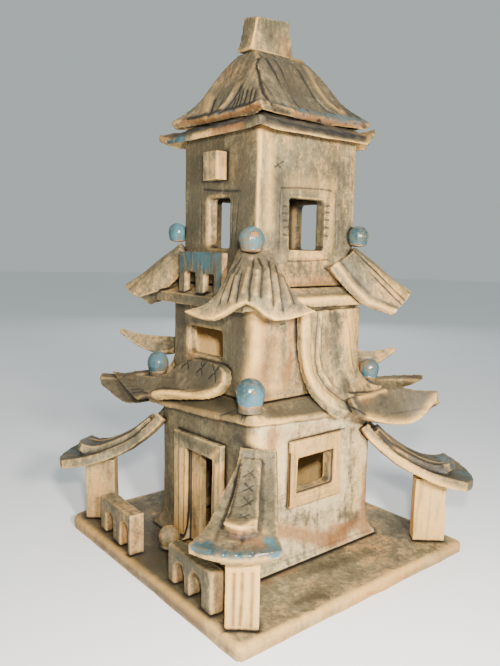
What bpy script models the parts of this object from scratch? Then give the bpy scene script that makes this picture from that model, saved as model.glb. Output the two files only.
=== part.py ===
"""A hand-built clay pagoda, 349 mm tall: slabs of stoneware joined into three storeys on a plate."""

import math

import bpy
from mathutils import Vector

# Driving sizes in millimetres
GAP = 0.3
SLAB = 7.5
PLATE_X = 200.0
PLATE_Y = 194.9
PLATE_Z = 8.0
GROUND_HALF = 51.0
GROUND_FOOT = 56.5
MIDDLE_HALF = 45.0
UPPER_HALF = 39.0
BENT_SLAB = 6.5
HOOD_DEPTH = 6.0
FAN_DEPTH = 8.0
UPPER_X = 38.0
UPPER_Y = 41.5
UPPER_SHIFT = 1.2
GROUND_Y = 54.0
GROUND_SHIFT = 3.0
SKIRT_HALF = 58.0
SKIRT_TOP = 112.0
LEDGE_HALF = 50.0
LEDGE_TOP = 179.0
UPPER_TOP = 269.6
EAVE_HALF = 52.0
RIDGE_X = 7.5
RIDGE_Y = 19.0

MM = 0.001

CLAY = (0.62, 0.47, 0.31)
PALE = (0.74, 0.60, 0.42)
OLIVE = (0.36, 0.32, 0.23)
GLAZE = (0.27, 0.46, 0.52)


def clear_scene():
    for old in list(bpy.data.objects):
        bpy.data.objects.remove(old, do_unlink=True)


def material_of(name, colour, roughness):
    material = bpy.data.materials.new(name)
    material.use_nodes = True
    shader = material.node_tree.nodes["Principled BSDF"]
    shader.inputs["Base Color"].default_value = (*colour, 1.0)
    shader.inputs["Roughness"].default_value = roughness
    return material


def add_object(name, points, faces, colour=CLAY, roughness=0.75):
    """One closed body from points in millimetres."""
    mesh = bpy.data.meshes.new(name)
    mesh.from_pydata([Vector(p) * MM for p in points], [], faces)
    mesh.validate()
    obj = bpy.data.objects.new(name, mesh)
    bpy.context.scene.collection.objects.link(obj)
    mesh.materials.append(material_of(name + "_clay", colour, roughness))
    return obj


def face_outwards(points, faces):
    """The faces, all turned round if the body is inside out."""
    volume = 0.0
    for face in faces:
        a = Vector(points[face[0]])
        for i in range(1, len(face) - 1):
            volume += a.dot(Vector(points[face[i]]).cross(Vector(points[face[i + 1]])))
    if volume < 0:
        return [face[::-1] for face in faces]
    return faces


def shell(name, outer, inner, ring=False, **look):
    """A body between two grids of points. With ring set, its rows close on themselves."""
    rows = len(outer)
    columns = len(outer[0])
    points = [p for row in outer for p in row] + [p for row in inner for p in row]
    half = rows * columns

    def at(i, j, side):
        return side * half + i * columns + j % columns

    faces = []
    last = columns if ring else columns - 1
    for i in range(rows - 1):
        for j in range(last):
            faces.append((at(i, j, 0), at(i, j + 1, 0), at(i + 1, j + 1, 0), at(i + 1, j, 0)))
            faces.append((at(i, j, 1), at(i + 1, j, 1), at(i + 1, j + 1, 1), at(i, j + 1, 1)))
    for j in range(last):
        faces.append((at(0, j, 0), at(0, j, 1), at(0, j + 1, 1), at(0, j + 1, 0)))
        end = rows - 1
        faces.append((at(end, j, 0), at(end, j + 1, 0), at(end, j + 1, 1), at(end, j, 1)))
    if not ring:
        for i in range(rows - 1):
            faces.append((at(i, 0, 0), at(i + 1, 0, 0), at(i + 1, 0, 1), at(i, 0, 1)))
            end = columns - 1
            faces.append((at(i, end, 0), at(i, end, 1), at(i + 1, end, 1), at(i + 1, end, 0)))
    return add_object(name, points, face_outwards(points, faces), **look)


def prism(name, outline, low, high, **look):
    """An upright prism on a flat outline."""
    count = len(outline)
    points = [(x, y, low) for x, y in outline] + [(x, y, high) for x, y in outline]
    faces = [tuple(range(count))[::-1], tuple(range(count, 2 * count))]
    for i in range(count):
        j = (i + 1) % count
        faces.append((i, j, count + j, count + i))
    return add_object(name, points, face_outwards(points, faces), **look)


def block(name, low, high, **look):
    """A box between two corners."""
    (x0, y0, z0), (x1, y1, z1) = low, high
    return prism(name, [(x0, y0), (x1, y0), (x1, y1), (x0, y1)], z0, z1, **look)


def spline(points, count):
    """Points at even steps along a smooth curve through the given ones."""
    made = []
    last = len(points) - 1
    for step in range(count + 1):
        place = last * step / count
        i = min(int(place), last - 1)
        t = place - i
        b = Vector(points[i])
        c = Vector(points[i + 1])
        a = Vector(points[i - 1]) if i else b * 2 - c
        d = Vector(points[i + 2]) if i + 2 <= last else c * 2 - b
        square = (a * 2 - b * 5 + c * 4 - d) * t**2
        cube = (b * 3 - a - c * 3 + d) * t**3
        made.append((b * 2 + (c - a) * t + square + cube) / 2)
    return made


def smooth_grid(net, rows, columns):
    """A fine grid through a coarse net of points."""
    across = [spline(row, columns) for row in net]
    down = [spline([row[j] for row in across], rows) for j in range(columns + 1)]
    return [[down[j][i] for j in range(columns + 1)] for i in range(rows + 1)]


def normals_of(grid):
    rows = len(grid)
    columns = len(grid[0])
    found = []
    for i in range(rows):
        line = []
        for j in range(columns):
            down = grid[min(i + 1, rows - 1)][j] - grid[max(i - 1, 0)][j]
            across = grid[i][min(j + 1, columns - 1)] - grid[i][max(j - 1, 0)]
            line.append(across.cross(down).normalized())
        found.append(line)
    return found


def offset_grid(grid, depth, taper=0.0):
    """The grid moved along its own normals. Depth is one number or one for each column, and tapers down the rows."""
    normals = normals_of(grid)
    moved = []
    for number, (row, line) in enumerate(zip(grid, normals)):
        depths = depth if isinstance(depth, list) else [depth] * len(row)
        share = 1.0 - taper * number / (len(grid) - 1)
        moved.append([p + n * d * share for p, n, d in zip(row, line, depths)])
    return moved


def slab_from(name, net, rows, columns, thickness, grow=0.0, taper=0.0, **look):
    """A bent slab. Its seen face runs through the net and its back lies behind that. Grow makes a looser copy."""
    grid = smooth_grid(net, rows, columns)
    if isinstance(thickness, (list, tuple)):
        depth = [t.x for t in spline([(t, 0, 0) for t in thickness], columns)]
    else:
        depth = [thickness] * (columns + 1)
    if grow:
        for row in grid:
            row[0] = row[0] + (row[0] - row[1]).normalized() * grow
            row[-1] = row[-1] + (row[-1] - row[-2]).normalized() * grow
        grid[0] = [a + (a - b).normalized() * grow for a, b in zip(grid[0], grid[1])]
        grid[-1] = [a + (a - b).normalized() * grow for a, b in zip(grid[-1], grid[-2])]
        back = offset_grid(grid, [d + grow for d in depth])
        return shell(name, offset_grid(grid, -grow), back, **look)
    return shell(name, grid, offset_grid(grid, depth, taper), **look)


def turned(net, degrees):
    """A net turned about the upright axis."""
    c = math.cos(math.radians(degrees))
    s = math.sin(math.radians(degrees))
    return [[(c * x - s * y, s * x + c * y, z) for x, y, z in row] for row in net]


def helper(obj):
    obj.hide_render = True
    obj.display_type = "WIRE"
    return obj


def combine(obj, other, operation="DIFFERENCE", folded=False):
    """Folded is for a slab whose back folds into itself."""
    modifier = obj.modifiers.new(operation.title(), "BOOLEAN")
    modifier.operation = operation
    modifier.solver = "EXACT"
    modifier.use_self = folded
    modifier.object = other
    return obj


# Rounded square outlines


def quarter(half, radius, steps=3, straights=6, side=0):
    """The outline of one side of a rounded square, from the middle of one corner to the middle of the next."""
    line = []
    flat = half - radius
    for i in range(steps + 1):
        angle = math.radians(-45 + 45 * i / steps)
        line.append((flat + radius * math.cos(angle), -flat + radius * math.sin(angle)))
    for i in range(1, straights):
        line.append((half, -flat + 2 * flat * i / straights))
    for i in range(steps + 1):
        angle = math.radians(45 * i / steps)
        line.append((flat + radius * math.cos(angle), flat + radius * math.sin(angle)))
    return line


def rounded_square(half, radius, steps=3, straights=1):
    outline = []
    for side in range(4):
        line = quarter(half, radius, steps, straights)[:-1]
        for x, y in line:
            for _ in range(side):
                x, y = -y, x
            outline.append((x, y))
    return outline


def side_turn(point, side):
    x, y, z = point
    for _ in range(side):
        x, y = -y, x
    return (x, y, z)


def ground_place(x, y):
    """The ground storey is deeper than it is wide, and reaches further back."""
    return x, y * GROUND_Y / GROUND_HALF + GROUND_SHIFT


def upper_place(x, y):
    return x * UPPER_X / UPPER_HALF, y * UPPER_Y / UPPER_HALF + UPPER_SHIFT


def same_place(x, y):
    return x, y


def wall(name, side, levels, radius, top_of, place=same_place, **look):
    """One wall of a storey. Levels are (height, half width); side 0 faces +X, 1 +Y, 2 -X and 3 -Y."""
    outer = []
    inner = []
    for number, (height, half) in enumerate(levels):
        last = number == len(levels) - 1
        row_out = []
        row_in = []
        out = quarter(half, radius)
        into = quarter(half - SLAB, max(radius - SLAB * 0.5, 1.0))
        for index, (po, pi) in enumerate(zip(out, into)):
            for point, row in ((po, row_out), (pi, row_in)):
                x, y = point
                if index == 0:
                    y += 0.22
                if index == len(out) - 1:
                    y -= 0.22
                x, y, z = side_turn((x, y, height), side)
                x, y = place(x, y)
                if last:
                    z = top_of(x, y) - GAP
                row.append((x, y, z))
        outer.append(row_out)
        inner.append(row_in)
    return shell(name, outer, inner, **look)


# The skirt roof, the ledge and the lower eaves are square rings


def skirt_eave(x, y):
    """Height of the skirt's edge: highest at the front corner, lowest on the left."""
    front = max(0.0, (x - y) / (2 * SKIRT_HALF))
    left = max(0.0, (-x - y) / (2 * SKIRT_HALF))
    right = max(0.0, (x + y) / (2 * SKIRT_HALF))
    return 101.0 + 6.5 * front**2 - 3.0 * left**2 + 2.5 * right**2


def skirt_surface(x, y):
    reach = max(abs(x), abs(y))
    if reach < 46.0:
        return SKIRT_TOP
    share = (reach - 46.0) / (SKIRT_HALF - 46.0)
    scale = SKIRT_HALF / reach
    return SKIRT_TOP + (skirt_eave(x * scale, y * scale) - SKIRT_TOP) * share**0.8


def skirt_top(x, y):
    """The skirt with the low mound that carries the front bead."""
    share = max(0.0, max(abs(x), abs(y)) - 46.0) / (SKIRT_HALF - 46.0)
    if share == 0.0:
        return skirt_surface(x, y)
    away = (x - 53.0) ** 2 + (y + 55.0) ** 2
    return skirt_surface(x, y) + 6.0 * math.exp(-away / 72.0) * (1.0 - min(share, 1.0) ** 6)


def skirt_under(x, y):
    """The underside of the skirt, which thins towards its edge."""
    share = max(0.0, max(abs(x), abs(y)) - 46.0) / (SKIRT_HALF - 46.0)
    return skirt_surface(x, y) - 7.0 + 3.0 * min(share, 1.0) ** 2


def ledge_place(x, y):
    """The ledge reaches further out at the front, where the balcony stands."""
    return x, y if y > -40.0 else -40.0 + (y + 40.0) * 1.65


def ledge_top(x, y):
    front = -y if y > -40.0 else 40.0 + (-y - 40.0) / 1.65
    reach = max(abs(x), y, front)
    if reach < 40.0:
        return LEDGE_TOP
    return LEDGE_TOP - 5.5 * (reach - 40.0) / (LEDGE_HALF - 40.0)


def eaves_top(x, y):
    reach = max(abs(x), abs(y))
    corner = min(abs(x), abs(y)) / max(reach, 1.0)
    tips = 1.5
    if x > 0 and y > 0:
        tips = 10.0
    elif x < 0 and y < 0:
        tips = 3.0
    lift = tips * max(0.0, corner - 0.72) / 0.28 * max(0.0, reach - 42.0) / 10.0
    return 282.2 - 0.45 * (reach - 30.0) + lift


def ledge_under(x, y):
    return ledge_top(x, y) - 7.0


def eaves_under(x, y):
    return eaves_top(x, y) - 5.0


def eaves_place(x, y):
    """The corner at the right is shorter than the others."""
    reach = max(abs(x), abs(y))
    corner = min(x, y) / max(reach, 1.0)
    pull = 0.07 * max(0.0, corner - 0.7) / 0.3 * max(0.0, reach - 42.0) / 10.0
    return x * (1.0 - pull), y * (1.0 - pull)


def square_ring(name, halves, radius, top, under, room=0.0, place=same_place, **look):
    """A ring between two surfaces. Room makes a looser copy."""
    outer = []
    inner = []
    for half in halves:
        line = [place(x, y) for x, y in rounded_square(half, min(radius, half * 0.2), 2, 8)]
        outer.append([Vector((x, y, top(x, y) + room)) for x, y in line])
        inner.append([Vector((x, y, under(x, y) - room)) for x, y in line])
    return shell(name, outer, inner, ring=True, **look)


# Beads


def bead(name, centre, radius, foot, stretch=1.0, **look):
    """A glazed ball, with a short clay neck under it down to the height of its foot."""
    cx, cy, cz = centre
    profile = []
    low = cz - radius * stretch
    neck = radius * 0.74
    if foot < low + 0.5:
        profile.append((neck * 1.15, foot))
        profile.append((neck, cz - radius * stretch * 0.67))
        first = 2
    else:
        first = 1
    count = 9
    for i in range(first, count):
        angle = -math.pi / 2 + math.pi * i / count
        profile.append((radius * math.cos(angle), cz + radius * stretch * math.sin(angle)))
    around = 14
    points = []
    for r, z in profile:
        for k in range(around):
            turn = 2 * math.pi * k / around
            points.append((cx + r * math.cos(turn), cy + r * math.sin(turn), z))
    rows = len(profile)
    faces = []
    for i in range(rows - 1):
        for k in range(around):
            n = (k + 1) % around
            faces.append((i * around + k, i * around + n, (i + 1) * around + n, (i + 1) * around + k))
    bottom = len(points)
    bottom_height = foot if first == 2 else low
    points.append((cx, cy, bottom_height))
    points.append((cx, cy, cz + radius * stretch))
    for k in range(around):
        n = (k + 1) % around
        faces.append((bottom, n, k))
        faces.append((bottom + 1, (rows - 1) * around + k, (rows - 1) * around + n))
    return add_object(name, points, face_outwards(points, faces), colour=GLAZE, roughness=0.2)


BEADS = {
    "bead_low_front": ((53.0, -55.0, 122.4), 8.6, 111.0, 1.0),
    "bead_low_left": ((-51.9, -51.9, 122.3), 7.8, 110.0, 1.1),
    "bead_low_right": ((50.0, 50.0, 124.6), 7.2, 113.5, 1.0),
    "bead_low_back": ((-50.0, 52.0, 122.3), 7.8, 110.0, 1.0),
    "bead_high_front": ((44.0, -49.1, 207.8), 7.7, 203.0, 1.0),
    "bead_high_left": ((-42.3, -42.3, 212.0), 6.8, 206.0, 1.0),
    "bead_high_right": ((42.2, 42.2, 211.6), 7.2, 206.0, 1.0),
    "bead_high_back": ((-46.0, 46.0, 210.4), 8.0, 202.0, 1.0),
}


def bead_room(name):
    """A slightly larger copy of a bead, to make its seat."""
    centre, radius, foot, stretch = BEADS[name]
    return helper(bead("room_" + name, centre, radius + GAP, foot - GAP, stretch))


clear_scene()

# Plate with one rounded corner


def plate_outline():
    line = []
    hx = PLATE_X / 2
    hy = PLATE_Y / 2
    for cx, cy, radius, start in ((1, 1, 4, 0), (-1, 1, 4, 90), (-1, -1, 10, 180), (1, -1, 3, 270)):
        for i in range(5):
            angle = math.radians(start + 90 * i / 4)
            x = cx * (hx - radius) + radius * math.cos(angle)
            y = cy * (hy - radius) + radius * math.sin(angle)
            line.append((x, y))
    return line


base_plate = prism("base_plate", plate_outline(), 0.0, PLATE_Z, colour=CLAY)

# Solids that other pieces are trimmed by, each 0.3 mm larger than what it stands for


def tube_cutter(name, levels, radius, place=same_place):
    """A rounded square post of changing width, solid inside."""
    rows = []
    for height, half in levels:
        rows.append([(*place(x, y), height) for x, y in rounded_square(half + GAP, radius + GAP, 3, 1)])
    count = len(rows[0])
    points = [p for row in rows for p in row]
    faces = [tuple(range(count)), tuple(range((len(rows) - 1) * count, len(rows) * count))[::-1]]
    for i in range(len(rows) - 1):
        for k in range(count):
            n = (k + 1) % count
            faces.append((i * count + k, (i + 1) * count + k, (i + 1) * count + n, i * count + n))
    return helper(add_object(name, points, face_outwards(points, faces)))


GROUND_LEVELS = [
    (PLATE_Z + GAP, GROUND_FOOT),
    (12.0, GROUND_FOOT - 2.6),
    (18.0, GROUND_HALF + 0.9),
    (28.0, GROUND_HALF),
    (90.0, GROUND_HALF),
]
CORE_LEVELS = [(3, GROUND_FOOT), (8.5, GROUND_FOOT)] + GROUND_LEVELS[1:-1] + [(106, GROUND_HALF)]
ground_core = tube_cutter("cut_ground", CORE_LEVELS, 8, ground_place)
middle_core = tube_cutter("cut_middle", [(96, MIDDLE_HALF), (172, MIDDLE_HALF)], 5)
upper_core = tube_cutter("cut_upper", [(150, UPPER_HALF), (275, UPPER_HALF)], 1.5, upper_place)
skirt_core = helper(
    square_ring("cut_skirt", (30, 46, 52, 56, SKIRT_HALF + GAP), 5, skirt_top, skirt_under, GAP)
)
eaves_core = helper(
    square_ring("cut_eaves", (29, 42, EAVE_HALF + GAP), 2, eaves_top, eaves_under, GAP, eaves_place)
)
ledge_core = helper(
    square_ring("cut_ledge", (30, 40, LEDGE_HALF + GAP), 3, ledge_top, ledge_under, GAP, ledge_place)
)

# Ground storey


def ground_top(x, y):
    return skirt_under(x, y) - 0.4


def ground_wall(name, side, colour=CLAY):
    return wall(name, side, GROUND_LEVELS, 8, ground_top, ground_place, colour=colour)


window_hole = helper(block("cut_window", (30, -17.3, 53.7), (70, 15.3, 76.4)))
window_hole_left = helper(block("cut_window_left", (-70, -15.3, 53.7), (-30, 17.3, 76.4)))
ground_wall_right = combine(ground_wall("ground_wall_right", 0, PALE), window_hole)
ground_wall_back = ground_wall("ground_wall_back", 1)
ground_wall_left = combine(ground_wall("ground_wall_left", 2, OLIVE), window_hole_left)

DOOR_X0, DOOR_X1, DOOR_TOP = -13.0, 17.0, 72.5
for piece, low, high in (
    ("ground_wall_door_left", (DOOR_X0, -90, 0), (90, -20, 120)),
    ("ground_wall_door_right", (-90, -90, 0), (DOOR_X1, -20, 120)),
):
    keep = ground_wall(piece, 3, OLIVE)
    combine(keep, helper(block("cut_" + piece, low, high)))
lintel = ground_wall("ground_wall_door_lintel", 3, OLIVE)
combine(lintel, helper(block("cut_lintel_left", (-90, -90, 0), (DOOR_X0 + GAP, -20, 120))))
combine(lintel, helper(block("cut_lintel_right", (DOOR_X1 - GAP, -90, 0), (90, -20, 120))))
combine(lintel, helper(block("cut_lintel_low", (-90, -90, 0), (90, -20, DOOR_TOP))))


def window_frame(name, side):
    """A flat clay frame laid on the wall."""
    x0 = GROUND_HALF + GAP
    x1 = x0 + 3.2
    outer = [(-23.0, 45.0), (21.6, 45.0), (21.6, 87.2), (-23.0, 87.2)]
    hole = [(-17.3, 53.7), (15.3, 53.7), (15.3, 76.4), (-17.3, 76.4)]
    front = [[side_turn((x1, y, z), side) for y, z in line] for line in (outer, hole)]
    back = [[side_turn((x0, y, z), side) for y, z in line] for line in (outer, hole)]
    return shell(name, front, back, ring=True, colour=PALE)


window_frame("window_frame_right", 0)
window_frame("window_frame_left", 2)


def door_frame():
    """Two jambs and a lintel in one piece, standing on the plate."""
    y0 = -(GROUND_HALF + GAP)
    opening = [(-13.0, 8.3), (-13.0, 72.5), (17.0, 72.5), (17.0, 8.3)]
    outline = [(-26.6, 8.3)] + opening + [(27.0, 8.3), (26.0, 83.5), (-26.6, 82.0)]
    points = [(x, y0 - 4.0, z) for x, z in outline] + [(x, y0 + 0.0, z) for x, z in outline]
    count = len(outline)
    faces = [tuple(range(count)), tuple(range(count, 2 * count))[::-1]]
    for i in range(count):
        j = (i + 1) % count
        faces.append((i, count + i, count + j, j))
    frame = add_object("door_frame", points, face_outwards(points, faces), colour=OLIVE)
    return combine(frame, ground_core)


door_frame()
block("door_leaf", (-12.7, -50.0, 8.3), (5.0, -45.0, 72.2), colour=PALE)
bead("door_bead", (-12.0, -67.5, 15.6), 7.3, 8.3)

# Skirt roof
square_ring("skirt_roof", (37, 46, 52, 56, SKIRT_HALF), 5, skirt_top, skirt_under, colour=CLAY)

# Middle storey
MIDDLE_LEVELS = [(SKIRT_TOP + GAP, MIDDLE_HALF), (140.0, MIDDLE_HALF), (165.0, MIDDLE_HALF)]


def middle_top(x, y):
    return ledge_under(x, y)


def middle_wall(name, side, colour=CLAY):
    return wall(name, side, MIDDLE_LEVELS, 5, middle_top, colour=colour)


middle_wall("middle_wall_right", 0)
middle_back = middle_wall("middle_wall_back", 1)
middle_wall("middle_wall_left", 2)
middle_front = middle_wall("middle_wall_front", 3, OLIVE)
combine(middle_front, helper(block("cut_middle_front", (-25.0, -60, 133.5), (12.0, -30, 151.5))))
combine(middle_back, helper(block("cut_middle_back", (-12.0, 30, 133.5), (25.0, 60, 151.5))))

# Ledge
square_ring("ledge", (32, 40, LEDGE_HALF), 3, ledge_top, ledge_under, place=ledge_place, colour=CLAY)

# Upper storey
UPPER_LEVELS = [(LEDGE_TOP + GAP, UPPER_HALF), (225.0, UPPER_HALF), (UPPER_TOP, UPPER_HALF)]


def upper_top(x, y):
    return eaves_under(x, y)


for number, piece in enumerate(("right", "back", "left", "front")):
    span = (-15.4, 14.4) if piece in ("right", "left") else (-10.7, 11.0)
    hole = [side_turn(p, number) for p in ((28, span[0], 202), (50, span[1], 233))]
    low = tuple(min(a, b) for a, b in zip(*hole))
    high = tuple(max(a, b) for a, b in zip(*hole))
    colour = (CLAY, CLAY, OLIVE, OLIVE)[number]
    upper = wall("upper_wall_" + piece, number, UPPER_LEVELS, 1.5, upper_top, upper_place, colour=colour)
    combine(upper, helper(block("cut_upper_" + piece, low, high)))

block("wall_box_front", (-5.0, -49.0, 243.0), (9.5, -40.6, 260.0), colour=OLIVE)

# Eaves and roof
square_ring("eaves", (31, 42, EAVE_HALF), 2, eaves_top, eaves_under, place=eaves_place, colour=PALE)


# Share of the way from the ridge to the eave, and the height there
ROOF_LINE = (
    (0.0, 323.0),
    (0.1, 320.5),
    (0.27, 314.0),
    (0.47, 304.5),
    (0.64, 295.5),
    (0.86, 286.0),
    (1.0, 282.5),
)


def roof_net(side):
    """The seen face of one roof slab, from the ridge down to its eave."""
    along_x = side % 2 == 0
    net = []
    for share, height in ROOF_LINE:
        row = []
        near = (RIDGE_X if along_x else RIDGE_Y) + share * (42.5 - (RIDGE_X if along_x else RIDGE_Y))
        wide = (RIDGE_Y if along_x else RIDGE_X) + share * (42.5 - (RIDGE_Y if along_x else RIDGE_X))
        for k in (-1.0, -0.5, 0.0, 0.5, 1.0):
            lift = 1.5 * abs(k) ** 3 * share
            row.append(side_turn((near, (wide - 0.25) * k, height + lift), side))
        net.append(row)
    return net


def roof_wedge(side):
    """Everything between the two hips of one roof slab, less a small gap."""
    slope = (42.5 - RIDGE_Y) / (42.5 - RIDGE_X)
    reach = 60.0
    if side % 2 == 0:
        start = RIDGE_X - RIDGE_Y / slope + 0.3
        tip = (reach - start) * slope
        outline = [(start, 0.0, 0.0), (reach, -tip, 0.0), (reach, tip, 0.0)]
    else:
        start = RIDGE_Y - RIDGE_X * slope + 0.3
        tip = (reach - start) / slope
        outline = [(start, 0.0, 0.0), (reach, -tip, 0.0), (reach, tip, 0.0)]
    return helper(prism("keep_roof_%d" % side, [side_turn(p, side)[:2] for p in outline], 260.0, 330.0))


for number, piece in enumerate(("right", "back", "left", "front")):
    roof = slab_from("roof_slab_" + piece, roof_net(number), 9, 6, 5.0, colour=OLIVE)
    combine(roof, roof_wedge(number), "INTERSECT")
    combine(roof, eaves_core)

# Finial


# Height, half sizes and centre of the block, from its foot up
FINIAL_ROWS = (
    (323.3, 6.8, 18.4, -2.2, -2.9),
    (332.0, 6.8, 15.9, -2.2, -2.7),
    (338.0, 6.8, 14.6, -2.2, -2.6),
    (343.6, 6.8, 13.6, -2.2, -2.6),
)


def finial():
    rows = []
    for z, hx, hy, cx, cy in FINIAL_ROWS:
        tilt = 1.0 if z > 340 else 0.0
        corners = ((hx, -hy, 0.2), (hx, hy, 2.3), (-hx, hy, 5.0), (-hx, -hy, 2.5))
        rows.append([(cx + x, cy + y, z + tilt * share) for x, y, share in corners])
    points = [p for row in rows for p in row]
    top = 4 * (len(rows) - 1)
    faces = [(0, 1, 2, 3)[::-1], tuple(range(top, top + 4))]
    for i in range(len(rows) - 1):
        for k in range(4):
            n = (k + 1) % 4
            faces.append((4 * i + k, 4 * i + n, 4 * i + 4 + n, 4 * i + 4 + k))
    return add_object("finial", points, face_outwards(points, faces), colour=CLAY)


finial()

# Swept slabs of the skirt. Each net row is a station along the slab, from the wall edge to the outer rim.
SWOOP = [
    [(24.0, -52.3, 129.0), (24.4, -52.7, 127.0), (24.6, -53.5, 124.5), (24.4, -55.0, 122.0)],
    [(19.0, -52.0, 131.5), (20.0, -52.5, 126.5), (21.0, -54.0, 121.5), (21.5, -57.0, 118.5)],
    [(10.0, -52.0, 132.5), (11.0, -52.8, 127.0), (12.5, -55.5, 119.5), (14.0, -60.0, 116.0)],
    [(-4.0, -52.0, 132.5), (-3.0, -53.0, 126.0), (-1.0, -56.5, 117.0), (1.0, -62.0, 112.6)],
    [(-17.0, -52.2, 130.5), (-15.0, -53.8, 124.0), (-13.0, -58.0, 115.5), (-11.0, -64.5, 110.5)],
    [(-28.0, -54.5, 123.0), (-26.0, -57.0, 117.5), (-24.0, -61.0, 112.0), (-25.0, -67.0, 109.5)],
    [(-38.0, -60.5, 117.0), (-37.0, -62.5, 113.0), (-35.0, -65.5, 109.0), (-35.0, -69.0, 105.5)],
    [(-55.0, -68.0, 116.0), (-52.0, -69.0, 111.0), (-47.0, -70.0, 106.0), (-43.0, -70.5, 102.5)],
    [(-77.5, -75.5, 115.5), (-68.0, -74.5, 110.5), (-57.0, -73.0, 104.5), (-47.0, -71.5, 99.5)],
]
SWOOP_BACK = [list(row) for row in SWOOP]
for number, rise in ((7, 3.0), (8, 7.0)):
    SWOOP_BACK[number] = [(x, y, z + rise) for x, y, z in SWOOP[number]]

# The curtain hangs from the ledge on a side wall and turns out at its foot. Rows go down it.
CURTAIN = [
    [(52.5, -15.7, 166.0), (53.6, -4.0, 166.0), (51.6, 10.0, 166.0), (52.8, 26.0, 166.0), (48.8, 40.5, 166.0)],
    [(52.5, -14.9, 146.0), (53.6, -3.5, 146.0), (51.6, 10.0, 146.0), (52.8, 26.0, 146.0), (48.8, 40.5, 146.0)],
    [(53.0, -12.9, 133.7), (54.3, -2.0, 132.5), (52.8, 11.5, 131.0), (53.2, 27.0, 129.5), (48.9, 40.9, 128.0)],
    [(55.5, -10.5, 124.0), (57.0, 1.0, 120.5), (56.2, 14.0, 119.5), (55.6, 29.0, 120.0), (51.0, 43.0, 121.5)],
    [(58.5, -7.0, 116.5), (60.5, 5.0, 111.8), (60.5, 17.0, 111.0), (58.8, 31.0, 113.2), (54.0, 45.5, 117.5)],
    [(62.0, 0.0, 109.5), (63.5, 10.0, 106.2), (63.0, 21.0, 106.2), (61.0, 34.0, 109.5), (57.0, 49.0, 115.5)],
    [(65.0, 9.0, 105.0), (65.5, 17.0, 102.6), (64.8, 26.0, 103.0), (62.8, 38.0, 107.0), (60.5, 53.0, 114.5)],
]

# The wing lies over the foot of the curtain and runs out past the corner. Rows go along it.
WING = [
    [(72.6, 18.0, 102.5), (70.6, 16.5, 105.5), (68.0, 15.5, 109.0), (65.5, 15.0, 112.5)],
    [(73.6, 31.5, 96.5), (71.6, 31.0, 102.0), (68.8, 30.5, 108.0), (66.0, 30.0, 113.5)],
    [(75.8, 47.5, 92.0), (73.6, 46.5, 100.0), (70.6, 45.5, 108.0), (67.6, 45.0, 115.5)],
    [(80.0, 60.0, 91.5), (77.5, 59.5, 99.0), (74.5, 58.5, 107.0), (71.0, 58.0, 115.0)],
    [(84.5, 66.5, 97.5), (82.6, 67.0, 102.5), (80.0, 67.5, 107.5), (77.5, 68.0, 112.5)],
    [(87.8, 73.0, 107.0), (87.4, 74.5, 109.0), (87.0, 76.0, 111.0), (86.5, 77.5, 113.0)],
]

# A thin wing that stands out high on a hidden wall
HIGH_WING_LEFT = [
    [(-53.6, -26.0, 139.5), (-53.8, -33.0, 134.5), (-54.0, -40.0, 129.5)],
    [(-66.0, -38.0, 138.5), (-66.5, -42.0, 133.0), (-67.0, -46.0, 127.5)],
    [(-79.0, -50.0, 139.5), (-79.0, -52.0, 135.5), (-79.0, -54.0, 131.5)],
    [(-90.5, -60.5, 143.5), (-90.0, -61.0, 142.0), (-89.5, -61.5, 140.5)],
]
HIGH_WING_BACK = [
    [(38.0, 45.6, 128.0), (32.0, 45.6, 132.5), (26.0, 45.6, 137.0)],
    [(42.0, 56.0, 124.5), (37.0, 55.0, 129.5), (32.0, 54.0, 135.0)],
    [(47.0, 65.0, 127.0), (44.0, 64.5, 130.5), (41.0, 64.0, 134.0)],
    [(53.6, 73.0, 135.0), (52.8, 73.0, 136.3), (52.0, 73.0, 137.5)],
]

swoop_front = slab_from("swoop_front", SWOOP, 16, 4, BENT_SLAB, colour=OLIVE)
swoop_back = slab_from("swoop_back", turned(SWOOP_BACK, 180), 16, 4, BENT_SLAB, colour=OLIVE)
for piece in (swoop_front, swoop_back):
    for cutter in (middle_core, skirt_core):
        combine(piece, cutter)

CURTAIN_DEPTH = (7.0, 7.5, 6.0, 6.5, 4.0)
for piece, degrees in (("right", 0), ("left", 180)):
    curtain = slab_from("curtain_" + piece, turned(CURTAIN, degrees), 12, 8, CURTAIN_DEPTH, colour=CLAY)
    wing = slab_from("wing_" + piece, turned(WING, degrees), 10, 4, 6.0, colour=OLIVE)
    for cutter in (middle_core, skirt_core, ledge_core):
        combine(curtain, cutter)
    combine(curtain, bead_room("bead_low_" + piece))
    loose = helper(slab_from("cut_curtain_" + piece, turned(CURTAIN, degrees), 12, 8, CURTAIN_DEPTH, GAP))
    combine(wing, loose)
    other = turned(SWOOP_BACK, 180) if piece == "right" else SWOOP
    combine(wing, helper(slab_from("cut_swoop_" + piece, other, 16, 4, BENT_SLAB, GAP)))
high_wing_left = slab_from("high_wing_left", HIGH_WING_LEFT, 6, 3, 4.5, colour=OLIVE)
high_wing_back = slab_from("high_wing_back", HIGH_WING_BACK, 6, 3, 4.5, colour=OLIVE)
combine(high_wing_left, bpy.data.objects["cut_curtain_left"])
combine(high_wing_back, middle_core)

# Hoods over the corners of the upper storey. Columns run from the ridge line out to both sides.
HOOD_HALF = [
    [(40.5, 40.5, 205.5), (46.5, 33.0, 202.0), (46.0, 24.0, 197.0), (44.2, 15.0, 191.5)],
    [(49.5, 49.5, 196.0), (54.0, 41.0, 191.5), (52.5, 31.5, 185.5), (48.6, 25.5, 178.0)],
    [(58.5, 58.5, 185.5), (62.0, 51.5, 181.0), (60.5, 42.5, 174.5), (55.0, 36.0, 167.5)],
    [(68.0, 68.0, 176.5), (70.0, 62.0, 172.5), (70.0, 55.0, 167.5), (68.5, 48.0, 162.5)],
]


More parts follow.
